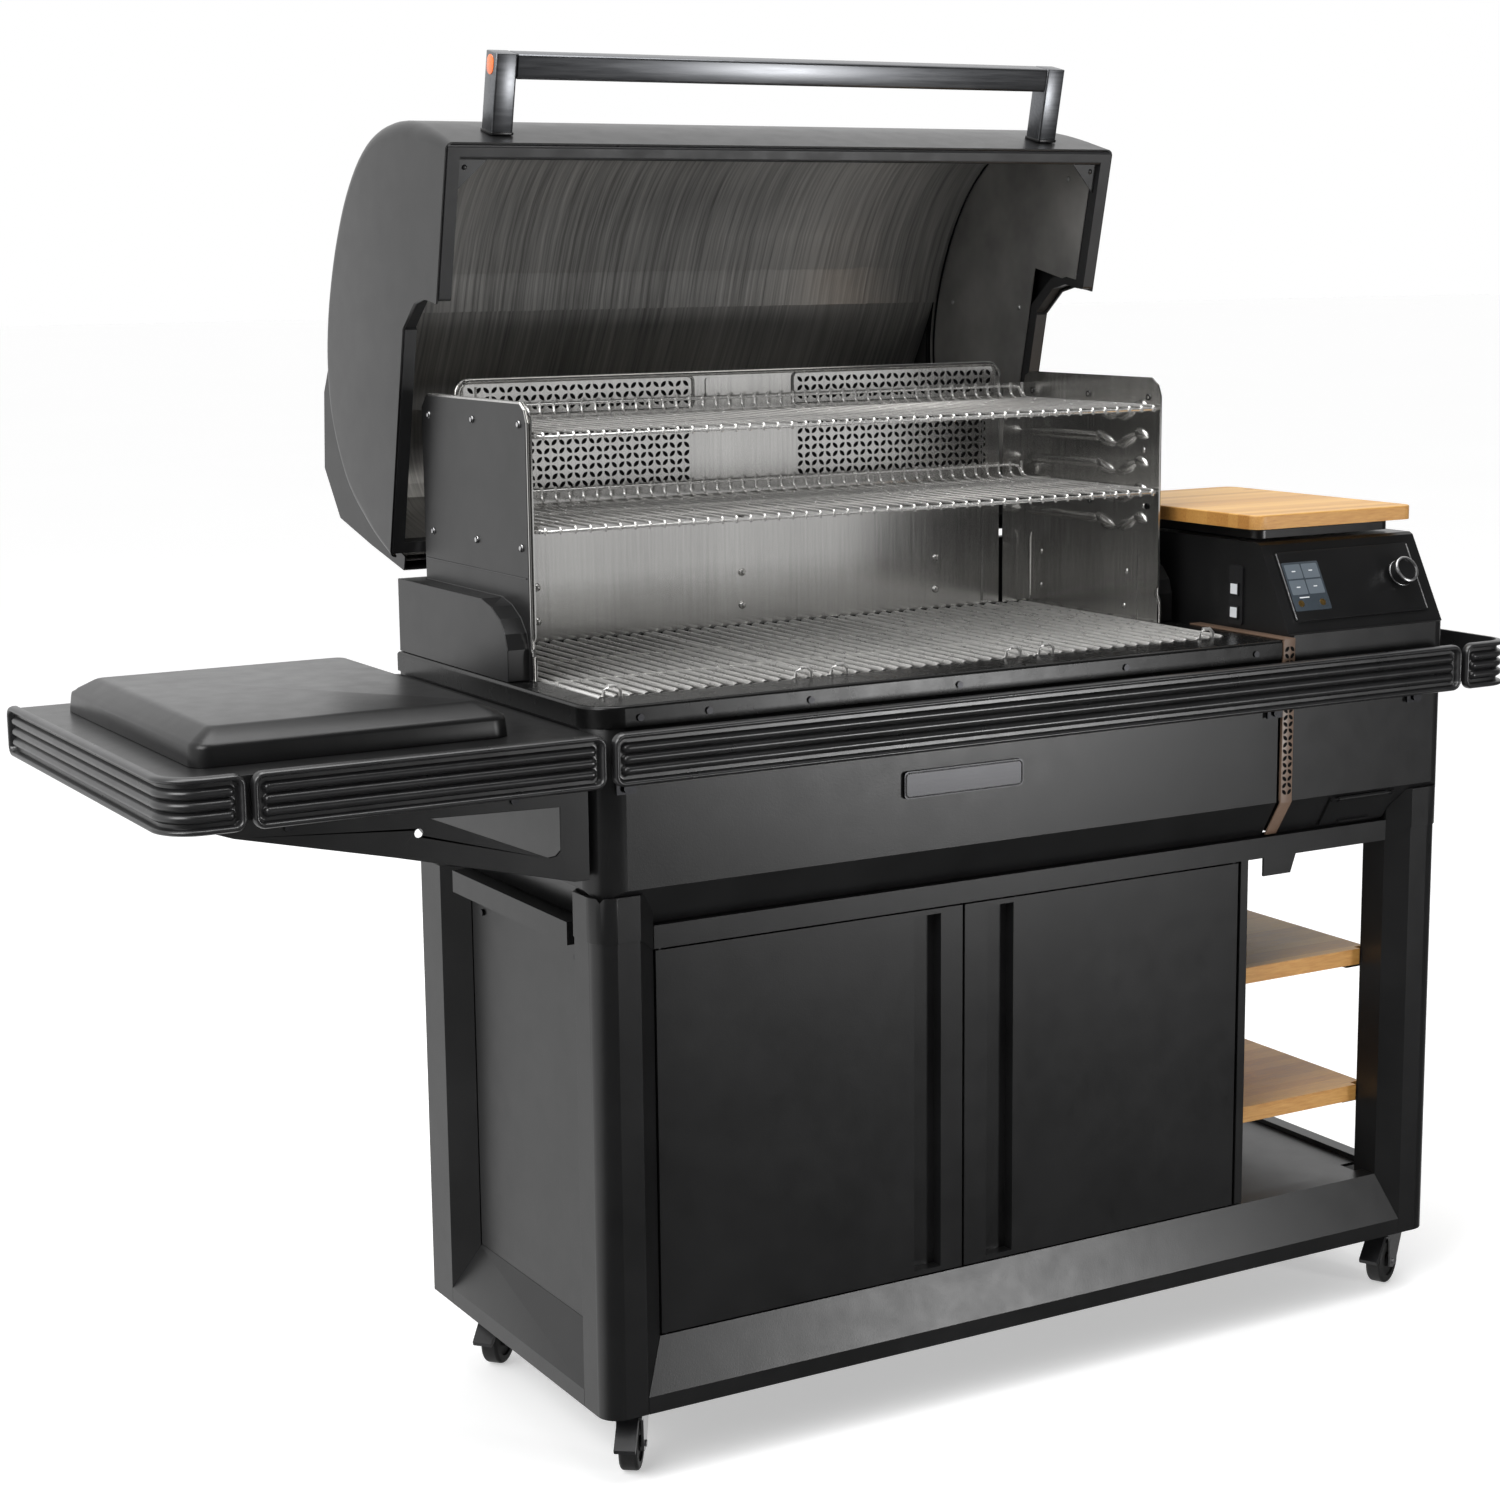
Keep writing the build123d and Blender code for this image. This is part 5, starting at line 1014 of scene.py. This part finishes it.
def ring_set(shape, centre, normal, profile, sides=48, hollow=False):
    """Turned shape: profile gives (radius, height along the normal); a hollow one closes on itself."""
    n = Vector(normal).normalized()
    u = Vector((1, 0, 0))
    v = n.cross(u)
    rings = []
    for r, h in profile:
        rings.append([
            tuple(Vector(centre) + n * h + r * (math.cos(a) * u + math.sin(a) * v))
            for a in [2 * math.pi * i / sides for i in range(sides)]
        ])
    shape.rings(rings, loop=hollow)


def knob():
    centre = on_face(1667, 66, 0)
    normal = (0, -math.sin(SLOPE), math.cos(SLOPE))
    shape = Shape()
    barrel = [(16.6, 6.8), (17.2, 7.4), (17.2, 20.5), (16.4, 21.4), (14.6, 21.8), (12.4, 21.2)]
    ring_set(shape, centre, normal, barrel)
    body = shape.out("dial", "knob", "smooth_black", angle=40)
    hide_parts("control_knob")
    rings = Shape()
    ring_set(rings, centre, normal, [(16.9, 8.2), (17.5, 8.6), (17.5, 10.2), (16.9, 10.6)], hollow=True)
    face_ring = [(16.6, 21.0), (17.4, 21.4), (17.4, 23.4), (16.4, 24.2), (14.6, 24.3), (14.2, 22.0)]
    ring_set(rings, centre, normal, face_ring, hollow=True)
    bright = rings.out("dial_rings", "knob", "zinc", angle=40)


knob()

# ---------------------------------------------------------------- stage

floor = bpy.data.meshes.new("floor")
bm = bmesh.new()
bmesh.ops.create_grid(bm, x_segments=2, y_segments=2, size=60)
bm.to_mesh(floor)
bm.free()
floor_obj = bpy.data.objects.new("floor", floor)
bpy.context.scene.collection.objects.link(floor_obj)
floor_obj.location.z = -0.0005
pale = Nodes("floor_paint")
tint = pale.blend(pale.noise(0.6, 2), (0.80, 0.80, 0.80), (0.83, 0.83, 0.83))
pale.link(tint, pale.shader.inputs["Base Color"])
pale.set(Roughness=0.9, Specular_IOR_Level=0.2, Emission_Color=(1, 1, 1, 1), Emission_Strength=0.42)
floor.materials.append(pale.material)
floor_obj.visible_glossy = False

world = bpy.data.worlds.new("studio")
bpy.context.scene.world = world
world.use_nodes = True
sky = world.node_tree
backdrop = sky.nodes["Background"]
backdrop.inputs[0].default_value = (1, 1, 1, 1)
direction_node = sky.nodes.new("ShaderNodeTexCoord")
toward = sky.nodes.new("ShaderNodeVectorMath")
toward.operation = "DOT_PRODUCT"
toward.inputs[1].default_value = (-0.34, 0.90, 0.28)
sky.links.new(direction_node.outputs["Generated"], toward.inputs[0])
shade_node = sky.nodes.new("ShaderNodeMapRange")
shade_node.interpolation_type = "SMOOTHSTEP"
for key, value in (("From Min", -0.35), ("From Max", 0.32), ("To Min", 0.07), ("To Max", 1.0)):
    shade_node.inputs[key].default_value = value
sky.links.new(toward.outputs["Value"], shade_node.inputs["Value"])
sky.links.new(shade_node.outputs["Result"], backdrop.inputs[1])


def softbox(name, place, target, width, height, power):
    light = bpy.data.lights.new(name, "AREA")
    light.shape = "RECTANGLE"
    light.size = width
    light.size_y = height
    light.energy = power
    obj = bpy.data.objects.new(name, light)
    bpy.context.scene.collection.objects.link(obj)
    obj.location = place
    direction = Vector(target) - Vector(place)
    obj.rotation_mode = "QUATERNION"
    obj.rotation_quaternion = direction.to_track_quat("-Z", "Y")
    return obj


softbox("key", (-3.4, -1.8, 3.2), (0, 0, 0.8), 2.4, 2.4, 110)
softbox("top", (-0.35, -0.4, 4.2), (0, 0, 0.8), 3.2, 2.2, 95)
front = softbox("front", (2.1, -3.6, 0.62), (0.05, -0.39, 0.8), 0.5, 0.85, 46)
STEEL_WORDS = ("stainless", "steel", "wire", "rod")


def is_steel(obj):
    """True for a mesh that carries one of the bright metal materials."""
    if obj.type != "MESH":
        return False
    return any(word in m.name for m in obj.data.materials if m for word in STEEL_WORDS)


# The front light skips the bright steel, which would mirror it; two large dim fills light only the steel.
steel = bpy.data.collections.new("not_lit_by_front")
for obj in bpy.context.scene.objects:
    if is_steel(obj):
        steel.objects.link(obj)
front.light_linking.receiver_collection = steel
for entry in steel.collection_objects:
    entry.light_linking.link_state = "EXCLUDE"
fills = {
    "wall_fill": ((2.5, -4.0, 1.35), (0, 0, 1.05), 3.2, 2.2, 17),
    "lid_fill": ((1.4, -1.9, 0.04), (0, 0.1, 1.3), 2.6, 2.0, 85),
}
for fill_name, settings in fills.items():
    group = bpy.data.collections.new("lit_by_" + fill_name)
    for obj in steel.objects:
        in_lid = obj.name.startswith("lid_")
        if in_lid == (fill_name == "lid_fill"):
            group.objects.link(obj)
    fill = softbox(fill_name, *settings)
    fill.visible_camera = False
    fill.light_linking.receiver_collection = group

camera_data = bpy.data.cameras.new("camera")
camera = bpy.data.objects.new("camera", camera_data)
bpy.context.scene.collection.objects.link(camera)
camera.location = at(-812.3, -2552.6, 1369.5)
YAW, PITCH, ROLL = math.radians(29.753), math.radians(9.931), math.radians(-0.627)
forward = Vector((math.sin(YAW) * math.cos(PITCH), math.cos(YAW) * math.cos(PITCH), -math.sin(PITCH)))
level = Vector((math.cos(YAW), -math.sin(YAW), 0))
above = level.cross(forward)
right = level * math.cos(ROLL) + above * math.sin(ROLL)
up = above * math.cos(ROLL) - level * math.sin(ROLL)
camera.rotation_mode = "QUATERNION"
camera.rotation_quaternion = Matrix((right, up, -forward)).transposed().to_quaternion()
camera_data.sensor_width = 36
camera_data.lens = 66.24
camera_data.shift_x = 0.0008
camera_data.shift_y = -0.0066
bpy.context.scene.camera = camera
bpy.context.scene.view_settings.view_transform = "Standard"
